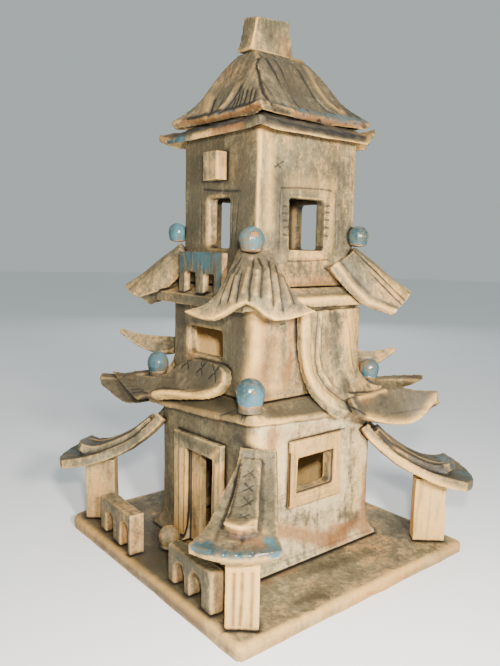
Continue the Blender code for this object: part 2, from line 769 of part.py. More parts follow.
def mirrored_net(half):
    """A net for both sides of the corner, from its near half."""
    return [row[::-1] + [(y, x, z) for x, y, z in row[1:]] for row in half]


HOOD = mirrored_net(HOOD_HALF)
SHALLOW_HALF = [
    [(40.5, 40.5, 205.5), (46.5, 33.0, 202.0), (46.0, 24.0, 198.0), (44.2, 15.0, 194.5)],
    [(49.5, 49.5, 196.0), (54.0, 41.0, 192.5), (52.5, 33.5, 189.0), (49.0, 27.5, 185.0)],
    [(58.5, 58.5, 185.0), (61.5, 51.5, 182.0), (60.0, 44.5, 178.5), (54.0, 38.0, 174.5)],
    [(69.0, 69.0, 176.0), (70.0, 64.5, 173.5), (69.5, 59.5, 171.0), (67.0, 53.0, 168.5)],
]
LEFT_HOOD = [far[::-1] + [(y, x, z) for x, y, z in near[1:]] for near, far in zip(SHALLOW_HALF, HOOD_HALF)]

# The front corner has a fluted fan instead, with a wavy rim
FAN = [
    [(49.8, 31.5, 202.5), (49.3, 37.0, 203.8), (45.2, 41.4, 204.0), (40.3, 45.8, 203.8), (34.8, 47.3, 202.0)],
    [(57.4, 33.5, 190.0), (57.2, 42.5, 190.0), (52.8, 50.0, 190.5), (45.0, 55.0, 190.0), (35.5, 56.3, 190.0)],
    [(65.5, 31.5, 176.5), (64.5, 43.5, 177.0), (58.0, 54.0, 182.0), (46.8, 61.5, 178.0), (33.5, 64.3, 178.0)],
    [(70.5, 25.5, 170.0), (69.0, 41.0, 169.5), (60.8, 55.5, 177.5), (47.5, 64.5, 170.5), (28.0, 68.0, 172.0)],
    [(75.9, 14.7, 166.2), (72.5, 37.0, 163.0), (62.8, 55.6, 173.5), (48.5, 66.0, 164.0), (21.0, 70.5, 168.0)],
]


for piece, net, degrees, depth, taper in (
    ("hood_right", HOOD, 0, HOOD_DEPTH, 0.55),
    ("fan_front", FAN, -90, FAN_DEPTH, 0.3),
    ("hood_left", LEFT_HOOD, 180, HOOD_DEPTH, 0.55),
    ("fan_back", FAN, 90, FAN_DEPTH, 0.3),
):
    hood = slab_from(piece, turned(net, degrees), 8, 12, depth, taper=taper, colour=CLAY)
    for cutter in (upper_core, ledge_core, middle_core, bead_room("bead_high_" + piece.split("_")[1])):
        combine(hood, cutter, folded=net is FAN)
    if piece == "hood_left":
        combine(hood, helper(block("cut_behind_balcony", (-21.6, -80, 150), (60, -30, 230))))

# Beads on the corners
for piece, (centre, radius, foot, stretch) in BEADS.items():
    ball = bead(piece, centre, radius, foot, stretch)
    for cutter in (upper_core, middle_core, skirt_core):
        combine(ball, cutter)

# Balcony panel on the front, with two small openings
balcony = prism(
    "balcony_panel",
    [(-21.3, -55.5), (24.0, -55.5), (24.0, -50.5), (-21.3, -50.5)],
    171.0,
    199.8,
    colour=GLAZE,
    roughness=0.3,
)
combine(balcony, helper(block("cut_balcony_left", (-14.2, -60, 160), (-3.0, -45, 187.2))))
combine(balcony, helper(block("cut_balcony_right", (6.0, -60, 160), (16.4, -45, 186.4))))
combine(balcony, ledge_core)

# Porches: a bent roof with a second slab over it, and a square post, at each corner


def porch_net(rows, lift):
    """Rows are (distance out, middle of the width, half width, height)."""
    net = []
    for s, middle, half, z in rows:
        row = []
        for k in (1.0, 0.5, 0.0, -0.5, -1.0):
            w = middle + half * k
            d = s - k * k * 7.0 * max(0.0, (s - 110.0) / 25.0)
            row.append(((d + w) / math.sqrt(2), (d - w) / math.sqrt(2), z + lift * k * k))
        net.append(row)
    return net


PORCH_ROWS = [
    (71.0, 0.0, 12.0, 87.0),
    (78.0, 0.0, 13.0, 78.5),
    (92.0, 0.0, 16.0, 67.0),
    (107.0, 0.0, 19.0, 60.0),
    (122.0, 0.0, 22.5, 56.5),
    (143.0, 0.0, 25.5, 54.5),
]
COVER_ROWS = [
    (78.5, 0.0, 6.5, 85.0),
    (92.0, 0.0, 7.5, 73.5),
    (107.0, 0.0, 9.0, 65.8),
    (120.0, 0.0, 10.0, 63.0),
    (130.0, 0.0, 11.0, 65.0),
]
FRONT_ROWS = [
    (71.0, -3.0, 10.5, 88.0),
    (78.0, -3.0, 11.5, 78.5),
    (92.0, -0.5, 15.5, 67.0),
    (107.0, 0.5, 17.8, 60.0),
    (121.0, 1.5, 20.5, 56.5),
    (134.0, 2.5, 24.5, 54.5),
]
FRONT_COVER = [(78.5, 0.0, 5.5, 84.5), (92.0, 0.5, 6.5, 73.0), (107.0, 1.0, 8.0, 65.6), (121.0, 1.5, 9.0, 62.6)]

for piece, degrees in (("right", 0), ("front", -90), ("left", 180), ("back", 90)):
    roof_rows, cover_rows, lift = PORCH_ROWS, COVER_ROWS, 3.5
    if piece == "front":
        roof_rows, cover_rows, lift = FRONT_ROWS, FRONT_COVER, 1.0
    roof_grid = turned(porch_net(roof_rows, lift), degrees)
    roof = slab_from("porch_roof_" + piece, roof_grid, 10, 6, BENT_SLAB, colour=OLIVE)
    cover = helper(slab_from("add_cover_" + piece, turned(porch_net(cover_rows, 0.5), degrees), 8, 4, 6.0))
    combine(roof, cover, "UNION")
    combine(roof, ground_core)
    loose_roof = helper(slab_from("cut_porch_" + piece, roof_grid, 10, 6, BENT_SLAB, GAP))
    # The side posts show their broad face to the side, the front and back ones outwards
    c = math.cos(math.radians(degrees))
    s = math.sin(math.radians(degrees))
    if piece in ("right", "left"):
        corners = [(79.3, 68.5), (93.2, 84.7), (84.8, 91.9), (71.0, 75.7)]
    else:
        corners = [(94.2, 82.8), (80.4, 94.8), (73.2, 86.5), (87.0, 74.5)]
    outline = [(c * x - s * y, s * x + c * y) for x, y in corners]
    post = prism("porch_post_" + piece, outline, PLATE_Z + GAP, 60.0, colour=PALE)
    combine(post, loose_roof)
    above = helper(block("cut_above_" + piece, (-200, -200, 52.0), (200, 200, 120.0)))
    combine(post, above)

# Fences along the front edge of the plate


def fence(name, start, end, thickness, heights, arches):
    """An upright slab with arched openings at its foot. Arches are (from, to, crown height) along it."""
    a = Vector((*start, 0.0))
    b = Vector((*end, 0.0))
    way = (b - a).normalized()
    back = Vector((-way.y, way.x, 0.0))
    length = (b - a).length
    low = PLATE_Z + GAP
    line = [(0.0, low)]
    for begin, stop, crown in arches:
        radius = (stop - begin) / 2
        middle = (begin + stop) / 2
        line.append((begin, low))
        for i in range(7):
            angle = math.pi - math.pi * i / 6
            line.append((middle + radius * math.cos(angle), crown - radius + radius * math.sin(angle)))
        line.append((stop, low))
    line.append((length, low))
    line.append((length, heights[1]))
    line.append((0.0, heights[0]))
    points = [tuple(a + way * d + Vector((0, 0, z))) for d, z in line]
    points += [tuple(a + way * d + back * thickness + Vector((0, 0, z))) for d, z in line]
    count = len(line)
    faces = [tuple(range(count)), tuple(range(count, 2 * count))[::-1]]
    for i in range(count):
        j = (i + 1) % count
        faces.append((i, count + i, count + j, j))
    return add_object(name, points, face_outwards(points, faces), colour=CLAY)


fence("fence_left", (-64.5, -90.0), (-15.5, -94.3), 10.0, (32.3, 35.0), [(8.5, 20.5, 24.5), (33.0, 45.0, 27.0)])
fence("fence_right", (22.5, -90.0), (68.5, -92.3), 8.5, (31.5, 32.3), [(7.0, 18.0, 23.5), (23.5, 35.5, 25.0)])
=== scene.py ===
"""The looks of a hand-built clay pagoda: slabs, incised lines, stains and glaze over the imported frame."""

import math

import bmesh
import bpy
import numpy as np
from bpy.props import FloatProperty, FloatVectorProperty, IntProperty, PointerProperty
from mathutils import Matrix, Vector
from mathutils.bvhtree import BVHTree


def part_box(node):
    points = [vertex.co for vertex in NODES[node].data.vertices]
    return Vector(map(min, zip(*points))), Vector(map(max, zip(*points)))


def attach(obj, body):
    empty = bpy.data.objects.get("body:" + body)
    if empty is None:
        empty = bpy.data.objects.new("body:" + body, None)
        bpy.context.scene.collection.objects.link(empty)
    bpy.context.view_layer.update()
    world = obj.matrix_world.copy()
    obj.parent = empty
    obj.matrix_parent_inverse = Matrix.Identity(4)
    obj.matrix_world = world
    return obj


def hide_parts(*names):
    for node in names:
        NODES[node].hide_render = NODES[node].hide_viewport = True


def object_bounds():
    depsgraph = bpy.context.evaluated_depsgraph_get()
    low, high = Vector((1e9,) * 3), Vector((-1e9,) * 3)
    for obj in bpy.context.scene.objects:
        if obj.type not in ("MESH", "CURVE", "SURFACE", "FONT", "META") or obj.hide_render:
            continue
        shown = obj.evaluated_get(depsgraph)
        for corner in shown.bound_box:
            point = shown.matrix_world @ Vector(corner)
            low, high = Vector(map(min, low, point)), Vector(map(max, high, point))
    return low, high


bl_info = {
    "name": "Clay pagoda",
    "version": (1, 0, 0),
    "blender": (4, 5, 0),
    "location": "3D View > Sidebar > Pagoda",
    "description": "Dresses the frame of a hand-built clay pagoda",
    "category": "Object",
}

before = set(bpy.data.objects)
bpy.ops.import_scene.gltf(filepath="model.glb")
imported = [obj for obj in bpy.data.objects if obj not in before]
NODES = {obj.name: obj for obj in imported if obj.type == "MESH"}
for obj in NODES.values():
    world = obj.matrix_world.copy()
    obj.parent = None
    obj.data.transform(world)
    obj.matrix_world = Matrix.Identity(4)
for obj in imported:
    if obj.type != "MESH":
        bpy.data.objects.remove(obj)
CAD_BOX = [list(map(float, corner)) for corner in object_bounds()]
BOXES = {name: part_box(name) for name in NODES}
MM = 0.001
# Paint layers kept on the mesh. The wash and cut layers also hold painted shade; pale, chalk and flash also
# hold painted light indoors
PAINTS = ("cut", "wash", "flash", "pale", "chalk", "glaze", "edge")
RIGHT, LEFT, BACK, FRONT, TOP = (1, 0, 0), (-1, 0, 0), (0, 1, 0), (0, -1, 0), (0, 0, 1)

# The camera's place in millimetres, its axes, and its lens
CAMERA_PLACE = (322.885, -278.474, 204.858)
CAMERA_RIGHT = (0.63305, 0.77382, 0.02111)
CAMERA_UP = (-0.11976, 0.07097, 0.99026)
CAMERA_AHEAD = (-0.76479, 0.62941, -0.13760)
CAMERA_LENS = 34.4
CAMERA_SENSOR = 36.0
# Where the lights aim, and how wide the floor reaches, in metres
AIM = (0.0, 0.0, 0.16)
FLOOR_RADIUS = 4.0

# Half the width of each room, then its front and its back, in millimetres
GROUND_ROOM = (43.5, -43.5, 49.5)
MIDDLE_ROOM = (37.5, -37.5, 37.5)
UPPER_ROOM = (30.5, -33.0, 35.5)
# How far back the middle of the ground storey and of the upper storey lies
GROUND_MIDDLE = 3.0
UPPER_MIDDLE = 1.2
# Heights, in millimetres, between which one look fades into another
JAMBS_BARE_AND_LIT = (68, 73)
GLAZE_RUNS = (183, 193)
EAVES_DARK = (267.6, 269.4)
FLARE_FADES = (281, 297)
# How far the roof slabs flare out over the corners of the eaves
FLARE = 4.0
# What part of a bead's radius it sits above its foot, and how fast it draws in below its middle
BEAD_FOOT, BEAD_DRAWN = 0.86, 0.22
# How far slabs that are worked as one piece are grown, so that the gaps between them close
JOIN = 0.2
# Which points lie near enough to a neighbour to be darkened, and how far the dark and the wash reach: partly
# stain in the joint, partly painted shade between the parts
JOINT_NEAR, JOINT_DARK, JOINT_SHADE = 2.8, 0.85, 2.2

# For each kind of hanging slab: its finish, its wash, and the way that it is combed
HANGING = {
    "swoop": ("dark_stoneware", 1.0, (1.0, 0.25, 0.1)),
    "wing": ("dark_stoneware", 1.2, (0.4, 1.0, 0.1)),
    "high": ("dark_stoneware", 0.1, (0.6, 1.0, 0.0)),
    "curtain": ("stoneware", 0.1, (0.0, 0.3, -1.0)),
}
# How much wash is left on the open faces of each finish
WASH_LEFT = {"stoneware": 0.46, "dark_stoneware": 0.95, "blue_glaze": 0.5}
# Colours of the glaze where it runs thin and where wash lies on it; the wash layer also holds painted shade
THIN_GLAZE = (0.11, 0.078, 0.040)
WASHED_GLAZE = (0.030, 0.040, 0.032)


# Settings that a user may change


COLOUR = {"subtype": "COLOR", "size": 3, "min": 0.0, "max": 1.0}


class ClaySettings(bpy.types.PropertyGroup):
    buff: FloatVectorProperty(
        name="Buff clay",
        description="Colour of the bare stoneware",
        default=(0.48, 0.270, 0.088),
        **COLOUR,
    )
    grey: FloatVectorProperty(
        name="Grey clay",
        description="Colour of the clay where it fired grey",
        default=(0.39, 0.295, 0.140),
        **COLOUR,
    )
    cream: FloatVectorProperty(
        name="Cream clay",
        description="Colour of the thin pale edges",
        default=(0.90, 0.53, 0.15),
        **COLOUR,
    )
    chalk: FloatVectorProperty(
        name="Chalky clay",
        description="Colour of the pale grey bloom on the walls",
        default=(0.62, 0.50, 0.290),
        **COLOUR,
    )
    # The olive of the wash is also the colour of painted shade: on the front and back, indoors and under the
    # eaves
    olive_and_shade: FloatVectorProperty(
        name="Olive wash",
        description="Colour of the thin grey-green wash",
        default=(0.074, 0.062, 0.034),
        **COLOUR,
    )
    flash: FloatVectorProperty(
        name="Flashes",
        description="Colour of the orange patches that the kiln left",
        default=(0.235, 0.095, 0.024),
        **COLOUR,
    )
    # The iron colour is also the colour of painted shade in the hollows, at the joints and under lapping
    # edges
    iron_and_shade: FloatVectorProperty(
        name="Iron in the lines",
        description="Colour of the dark stain left in lines and joints",
        default=(0.009, 0.007, 0.005),
        **COLOUR,
    )
    glaze: FloatVectorProperty(
        name="Blue glaze",
        description="Colour of the glaze on the beads and eaves",
        default=(0.021, 0.051, 0.061),
        **COLOUR,
    )
    grain: FloatProperty(
        name="Grain",
        description="Size of the grain of the clay",
        default=0.0007,
        min=0.0002,
        max=0.005,
        unit="LENGTH",
    )


class HandSettings(bpy.types.PropertyGroup):
    wobble: FloatProperty(
        name="Wobble",
        description="How far the slabs stray from flat",
        default=0.0003,
        min=0.0,
        max=0.002,
        unit="LENGTH",
    )
    softness: IntProperty(
        name="Softness",
        description="How often the edges of the clay are smoothed",
        default=1,
        min=0,
        max=20,
    )
    skin: FloatProperty(
        name="Face size",
        description="Size of the small faces that the clay is cut into, against the finest",
        default=1.32,
        min=1.0,
        max=3.0,
    )
    cut_depth: FloatProperty(
        name="Line depth",
        description="Depth of an incised line",
        default=0.0006,
        min=0.0,
        max=0.003,
        unit="LENGTH",
    )
    cut_width: FloatProperty(
        name="Line width",
        description="Half the width of an incised line",
        default=0.0006,
        min=0.0002,
        max=0.003,
        unit="LENGTH",
    )


class StageSettings(bpy.types.PropertyGroup):
    floor: FloatVectorProperty(
        name="Floor",
        description="Colour of the floor",
        default=(0.84, 0.855, 0.86),
        **COLOUR,
    )
    key: FloatProperty(
        name="Key light",
        description="Power of the main soft lights",
        default=7.3,
        min=0.0,
        unit="POWER",
    )
    fill: FloatProperty(
        name="Fill light",
        description="Strength of the even light all round",
        default=0.55,
        min=0.0,
    )


# Shader maths


class Sock:
    """A node socket that can be used in an expression. Each operator adds one Math node."""

    def __init__(self, shader, socket):
        self.shader = shader
        self.socket = socket

    def math(self, operation, *values):
        return self.shader.node("ShaderNodeMath", {"operation": operation}, [self, *values])[0]

    def __add__(self, other):
        return self.math("ADD", other)

    def __mul__(self, other):
        return self.math("MULTIPLY", other)

    def __sub__(self, other):
        return self.math("SUBTRACT", other)

    def __rsub__(self, other):
        return (self * -1.0) + other

    __radd__ = __add__
    __rmul__ = __mul__

    def clamped(self):
        return self.math("MINIMUM", 1.0).math("MAXIMUM", 0.0)

    def step(self, low, high):
        """0 below low, 1 above high, smooth between."""
        settings = {"interpolation_type": "SMOOTHSTEP"}
        return self.shader.node("ShaderNodeMapRange", settings, [self, low, high, 0.0, 1.0])[0]


class Shader:
    """A material that is put together from expressions."""

    def __init__(self, name):
        self.material = bpy.data.materials.new(name)
        self.material.use_nodes = True
        self.tree = self.material.node_tree
        self.bsdf = self.tree.nodes["Principled BSDF"]

    def node(self, kind, settings=None, inputs=()):
        """One node of a kind: its settings first, then its inputs by place or by name. Gives its outputs."""
        made = self.tree.nodes.new(kind)
        for key, value in (settings or {}).items():
            setattr(made, key, value)
        pairs = inputs.items() if isinstance(inputs, dict) else enumerate(inputs)
        for key, value in pairs:
            self.put(made.inputs[key], value)
        return [Sock(self, out) for out in made.outputs]

    def put(self, socket, value):
        if isinstance(value, Sock):
            self.tree.links.new(value.socket, socket)
        else:
            socket.default_value = value

    def mix(self, factor, a, b):
        """Colour a where the factor is 0, b where it is 1."""
        settings = {"data_type": "RGBA", "clamp_factor": True}
        return self.node("ShaderNodeMix", settings, {0: factor, 6: rgba(a), 7: rgba(b)})[2]

    def noise(self, place, scale, detail=3.0, roughness=0.55):
        inputs = {"Vector": place, "Scale": scale, "Detail": detail, "Roughness": roughness}
        return self.node("ShaderNodeTexNoise", {}, inputs)[0]

    def paint(self, name):
        return self.node("ShaderNodeAttribute", {"attribute_name": name})[2]

    def surface(self, **values):
        for key, value in values.items():
            self.put(self.bsdf.inputs[key.replace("_", " ")], value)


def rgba(value):
    """A colour socket as it is, or a colour with its alpha."""
    return value if isinstance(value, Sock) else (*value, 1.0)


# Materials


def clay_material(name):
    """Stoneware under a thin wash, with stain in its lines, patches from the kiln and glaze."""
    dark = WASH_LEFT[name]
    look = bpy.context.scene.pagoda_clay
    sh = Shader(name)
    place = sh.node("ShaderNodeTexCoord")[3]
    streaks = sh.node("ShaderNodeMapping", {}, {"Vector": place, "Scale": (1.0, 1.0, 0.25)})[0]
    cloud = sh.noise(place, 24.0, 4.0, 0.5)
    patch = sh.noise(place, 60.0, 4.0, 0.6)
    brush = sh.noise(streaks, 260.0, 3.0, 0.6)
    smoke = sh.noise(place, 38.0, 5.0, 0.6)
    skin = sh.noise(place, 300.0, 4.0, 0.65)
    fine = sh.noise(place, 0.55 / look.grain, 3.0, 0.65)
    specks = sh.node("ShaderNodeTexVoronoi", {}, {"Vector": place, "Scale": 420.0, "Randomness": 1.0})
    cut, wash, flash, pale, chalk, glaze, edge = (sh.paint(paint) for paint in PAINTS)

    # Thin wash: clouds and brush strokes, wiped off the edges, left in the hollows; the hollows also get
    # painted shade, and painted shade comes in with the wash layer
    rubbed = edge.step(0.15, 0.8)
    hollow_wash_and_shade = (edge * -1.0).step(0.06, 0.55)
    body = sh.mix(cloud.step(0.38, 0.62), look.buff, look.grey)
    # The chalk layer also holds painted light indoors
    bloom = (chalk * (0.1 + patch * 1.6)).clamped()
    body = sh.mix(bloom * 0.85, body, look.chalk)
    amount = (cloud - 0.5) * 2.2 + (patch - 0.5) * 1.6 + (brush - 0.5) * 1.9 + dark + wash
    amount = amount + (fine - 0.5) * 1.3 + (skin - 0.5) * 2.4
    washed = (amount * (1.0 - rubbed * 0.5)).clamped()
    deep = (amount - 0.95).clamped()
    olive_and_shade = sh.mix(smoke.step(0.35, 0.65), look.olive_and_shade, tuple(c * 1.9 for c in look.olive_and_shade))
    body = sh.mix(washed * 0.9, body, olive_and_shade)
    body = sh.mix(deep * 0.6, body, look.iron_and_shade)
    warm = (flash * 0.75 + (patch - 0.55) * 1.6 * flash.step(0.0, 0.3)).clamped()
    body = sh.mix(warm * 0.75, body, look.flash)
    # The pale layer also holds painted light indoors and on the door jambs
    light = (pale * (0.1 + patch * 1.1) + rubbed * 0.2).clamped()
    body = sh.mix(light * 0.75, body, look.cream)
    dots = 1.0 - specks[0].step(0.06, 0.20)
    dots = dots * patch.step(0.50, 0.62)
    # Near black: stain in the lines and specks, with painted shade in the hollows, at the joints and under
    # lapping edges
    stain = (cut * 1.3 + hollow_wash_and_shade * 0.75 + dots * 0.45).clamped()
    body = sh.mix(stain * 0.94, body, look.iron_and_shade)

    # Blue glaze, brown where it runs thin
    blue = sh.mix(patch.step(0.35, 0.65), look.glaze, tuple(c * 2.6 for c in look.glaze))
    thin = ((0.56 - smoke) * 4.0 + (0.5 - skin) * 3.0 + rubbed * 0.7).step(0.1, 0.9)
    blue = sh.mix(thin * 0.75, blue, THIN_GLAZE)
    # The glaze darkens under heavy wash and in the hollows, which also brings painted shade onto it
    blue = sh.mix(((wash - 0.5) * 0.8).clamped(), blue, WASHED_GLAZE)
    blue = sh.mix(hollow_wash_and_shade * 0.7, blue, look.iron_and_shade)
    coat = (glaze + ((patch - 0.5) * 1.6 + (skin - 0.5) * 1.2) * glaze.step(0.0, 0.3)).step(0.0, 1.0)
    colour = sh.mix(coat, body, blue)
    grit = (fine - 0.5) * 0.25
    rough = 0.62 + grit + (1.0 - washed) * 0.16
    rough = rough * (1.0 - coat) + coat * 0.16
    height = fine * 0.4 + skin * 1.0 + brush * 0.4
    height = height * (1.0 - coat * 0.75)
    bump = sh.node("ShaderNodeBump", {}, {"Strength": 0.8, "Distance": 0.0009, "Height": height})[0]
    sh.surface(Base_Color=colour, Roughness=rough, Normal=bump)
    sh.bsdf.inputs["Specular IOR Level"].default_value = 0.4
    return sh.material


MATERIALS = {}


def material(name):
    if name not in MATERIALS:
        MATERIALS[name] = clay_material(name)
    return MATERIALS[name]


# Hand marks


def lattice(cells, seed):
    """A repeatable value from 0 to 1 for each whole-number cell."""
    n = cells.astype(np.int64)
    h = n[:, 0] * 374761393 + n[:, 1] * 668265263 + n[:, 2] * 2147483647 + seed * 974634777
    h = (h ^ (h >> 13)) * 1274126177
    h = h ^ (h >> 16)
    return (h & 0xFFFF) / 65535.0


def grain(points, size, seed=0):
    """Smooth noise from -1 to 1. Size is a number, or one for each axis, in millimetres."""
    p = points / np.asarray(size, float)
    base = np.floor(p)
    f = p - base
    f = f * f * (3.0 - 2.0 * f)
    total = np.zeros(len(p))
    for dx in (0, 1):
        for dy in (0, 1):
            for dz in (0, 1):
                weight = (f[:, 0] if dx else 1 - f[:, 0]) * (f[:, 1] if dy else 1 - f[:, 1])
                weight = weight * (f[:, 2] if dz else 1 - f[:, 2])
                total += weight * lattice(base + (dx, dy, dz), seed)
    return total * 2.0 - 1.0


def smooth_step(low, high, value):
    t = np.clip((value - low) / (high - low), 0.0, 1.0)
    return t * t * (3.0 - 2.0 * t)


def to_line(points, line):
    """For each point: its distance to a line, how far along (0 to 1), the gap and the way of the line."""
    line = np.asarray(line, float)
    if len(line) == 1:
        gap = points - line[0]
        return np.linalg.norm(gap, axis=1), np.zeros(len(points)), gap, np.zeros_like(gap)
    lengths = np.linalg.norm(np.diff(line, axis=0), axis=1)
    run = np.concatenate([[0.0], np.cumsum(lengths)])
    best = np.full(len(points), 1e9)
    along = np.zeros(len(points))
    gap = np.zeros_like(points)
    way = np.zeros_like(points)
    for i, (a, b) in enumerate(zip(line[:-1], line[1:])):
        d = b - a
        t = np.clip((points - a) @ d / max(float(d @ d), 1e-9), 0.0, 1.0)
        off = points - a - t[:, None] * d
        distance = np.linalg.norm(off, axis=1)
        near = distance < best
        best[near] = distance[near]
        along[near] = (run[i] + t[near] * lengths[i]) / max(run[-1], 1e-9)
        gap[near] = off[near]
        way[near] = d / max(lengths[i], 1e-9)
    return best, along, gap, way


class Mark:
    """One thing that the maker's hand did to the clay: its kind, the line it follows and its sizes."""

    def __init__(self, kind, line, **values):
        self.kind = kind
        self.line = [Vector(p) for p in line]
        self.values = values


def groove(line, width=None, depth=None, dark=1.0, uneven=0.35):
    return Mark("groove", line, width=width, depth=depth, dark=dark, uneven=uneven)


def ridge(line, width, height, pale=0.0):
    return Mark("ridge", line, width=width, height=height, pale=pale)


def lap(line, height, reach, dark=0.8):
    return Mark("lap", line, height=height, reach=reach, dark=dark)


def stroke_of(paint):
    """Gives what makes a soft stroke or patch of one paint."""

    def stroke(line, width, strength=1.0, ragged=0.9):
        return Mark("stain", line, paint=paint, width=width, strength=strength, ragged=ragged)

    return stroke


wash_on, flash_on, pale_on, glaze_on, iron_on = map(stroke_of, ("wash", "flash", "pale", "glaze", "cut"))


def each(make, sizes, *lines):
    """Marks of one kind and size along several lines."""
    return [make(line, *sizes) for line in lines]


def opposite(marks, middle=0.0):
    """The same marks on the far side of the tower, half a turn round an upright axis this far back."""
    turned = []
    for mark in marks:
        line = [(-p.x, 2.0 * middle - p.y, p.z) for p in mark.line]
        turned.append(Mark(mark.kind, line, **mark.values))
    return turned


def both_sides(middle=0.0, **marks):
    """The marks of pieces by their names, and after each the turned marks of its twin on the far side."""
    found = {}
    for name, own in marks.items():
        found[name] = own
        found[name.replace("front", "back").replace("right", "left")] = opposite(own, middle)
    return found


class Slab:
    """The clay of one piece while it is worked: its points, normals, moves and paints, in millimetres."""

    def __init__(self, obj):
        self.obj = obj
        mesh = obj.data
        count = len(mesh.vertices)
        self.points = read(mesh.vertices, "co", count) / MM
        self.normals = read(mesh.vertices, "normal", count)
        self.move = np.zeros(count)
        self.shift = np.zeros((count, 3))
        self.paints = {name: np.zeros(count) for name in PAINTS}

    def work(self, marks):
        for mark in marks:
            getattr(self, mark.kind)(mark.laid, **mark.values)

    def near(self, line, reach):
        """Which points lie within reach of the line's box."""
        low = line.min(0) - reach
        high = line.max(0) + reach
        return np.nonzero(((self.points >= low) & (self.points <= high)).all(1))[0]

    def groove(self, line, width, depth, dark, uneven):
        """An incised line, with stain in it."""
        hand = bpy.context.scene.pagoda_hand
        width = width or hand.cut_width / MM
        depth = hand.cut_depth / MM if depth is None else depth
        picked = self.near(line, width * 3)
        distance, along, _, _ = to_line(self.points[picked], line)
        press = 1.0 - uneven * (0.5 + 0.5 * grain(self.points[picked], 4.0, 3))
        ends = smooth_step(0.0, 0.05, along) * smooth_step(0.0, 0.05, 1.0 - along) if len(line) > 1 else 1.0
        shape = np.exp(-((distance / width) ** 2)) * press * (0.35 + 0.65 * ends)
        self.move[picked] -= depth * shape
        self.paints["cut"][picked] = np.maximum(self.paints["cut"][picked], dark * shape)

    def ridge(self, line, width, height, pale):
        """A raised strip."""
        picked = self.near(line, width * 3)
        distance, _, _, _ = to_line(self.points[picked], line)
        shape = np.exp(-((distance / width) ** 2))
        self.move[picked] += height * shape
        self.paints["pale"][picked] += pale * shape

    def lap(self, line, height, reach, dark):
        """The edge of a slab that lies over another: the left of the line, seen from outside, is higher.
        Along its foot a dark line is painted: partly the seam, partly painted shadow under the raised edge.
        """
        picked = self.near(line, reach * 1.1)
        distance, along, gap, way = to_line(self.points[picked], line)
        side = np.einsum("ij,ij->i", np.cross(self.normals[picked], way), gap)
        ends = smooth_step(0.0, 0.08, along) * smooth_step(0.0, 0.08, 1.0 - along)
        fade = (1.0 - smooth_step(reach * 0.3, reach, distance)) * ends
        self.move[picked] += height * smooth_step(-0.2, 0.7, side) * fade
        # Painted shadow in a dark line along the foot of the raised edge, partly the seam
        shadow_under = np.exp(-(((side + 0.7) / 0.8) ** 2)) * (distance < 2.5) * (0.3 + 0.7 * ends)
        self.move[picked] -= 0.4 * shadow_under
        self.paints["cut"][picked] = np.maximum(self.paints["cut"][picked], dark * shadow_under)

    def stain(self, line, paint, width, strength, ragged):
        """A soft stroke or patch of a paint."""
        picked = self.near(line, width * 2.2)
        points = self.points[picked]
        distance, _, _, _ = to_line(points, line)
        rag = grain(points, max(width * 0.6, 1.5), 7) * 0.6 + grain(points, max(width * 0.25, 0.9), 8) * 0.4
        torn = 1.0 + ragged * rag * 0.6
        shape = np.exp(-((distance * torn / (width * 0.85)) ** 2)) * torn
        self.paints[paint][picked] += 1.25 * strength * shape

    def facing(self, way, low=0.2, high=0.8):
        """1 where the clay faces that way."""
        return smooth_step(low, high, self.normals @ np.asarray(way, float))

    def tint(self, mask, **strengths):
        """Lays paints on where the mask is above 0, each by its name and how strong it is."""
        for paint, strength in strengths.items():
            self.paints[paint] += strength * mask
        return self

    def face(self, way, low=0.2, high=0.8, **strengths):
        """Lays paints on where the clay faces that way."""
        return self.tint(self.facing(way, low, high), **strengths)

    def shade(self):
        """Darkens the front and back of the tower with more wash than its sides: partly the wash, partly
        painted shade on the faces that take less light.
        """
        return self.face(FRONT, wash=0.74).face(BACK, wash=0.6)

    def comb(self, mask, direction, pitch, depth, dark=0.35, length=25.0):
        """Fine combed lines that run along a direction."""
        way = Vector(direction).normalized()
        side = way.orthogonal().normalized()
        turned = self.points @ np.array([side, way.cross(side), way]).T
        lines = grain(turned, (pitch, pitch, length), 11)
        self.move -= depth * mask * np.clip(lines, 0.0, 1.0)
        self.paints["cut"] = np.maximum(self.paints["cut"], dark * mask * smooth_step(0.2, 0.8, lines))
        return self

    def finish(self, rub=2.2):
        """Moves the points, reads edges and hollows off the shape, and keeps the paints on the mesh."""
        mesh = self.obj.data
        moved = self.points + self.normals * self.move[:, None] + self.shift
        moved = np.clip(moved, np.array(CAD_BOX[0]) / MM, np.array(CAD_BOX[1]) / MM)
        self.paints["edge"] = np.clip(stand_out(mesh, moved, self.normals) * rub, -1.0, 1.0)
        mesh.vertices.foreach_set("co", (moved * MM).astype(np.float32).ravel())
        mesh.update()
        for name, values in self.paints.items():
            layer = mesh.attributes.new(name, "FLOAT", "POINT")
            layer.data.foreach_set("value", values.astype(np.float32))


def read(items, key, count):
    values = np.empty(count * 3, np.float32)
    items.foreach_get(key, values)
    return values.reshape(-1, 3).astype(float)


def stand_out(mesh, points, normals, rounds=3):
    """How far each point stands out from its surroundings, in millimetres: below 0 in hollows."""
    pairs = np.empty(len(mesh.edges) * 2, np.int32)
    mesh.edges.foreach_get("vertices", pairs)
    a, b = pairs.reshape(-1, 2).T
    count = len(points)
    links = np.maximum(np.bincount(a, minlength=count) + np.bincount(b, minlength=count), 1)
    soft = points.copy()
    for _ in range(rounds):
        for axis in range(3):
            v = soft[:, axis].copy()
            soft[:, axis] = (np.bincount(a, v[b], count) + np.bincount(b, v[a], count)) / links
    return np.einsum("ij,ij->i", points - soft, normals)


# Clay from the frame


def laid(line, tree, spacing=1.5):
    """The line with close points, each laid on the surface."""
    close = [line[0]]
    for a, b in zip(line[:-1], line[1:]):
        parts = max(1, math.ceil((b - a).length / spacing))
        close += [a.lerp(b, i / parts) for i in range(1, parts + 1)]
    return np.array([tree.find_nearest(p * MM)[0] / MM for p in close])


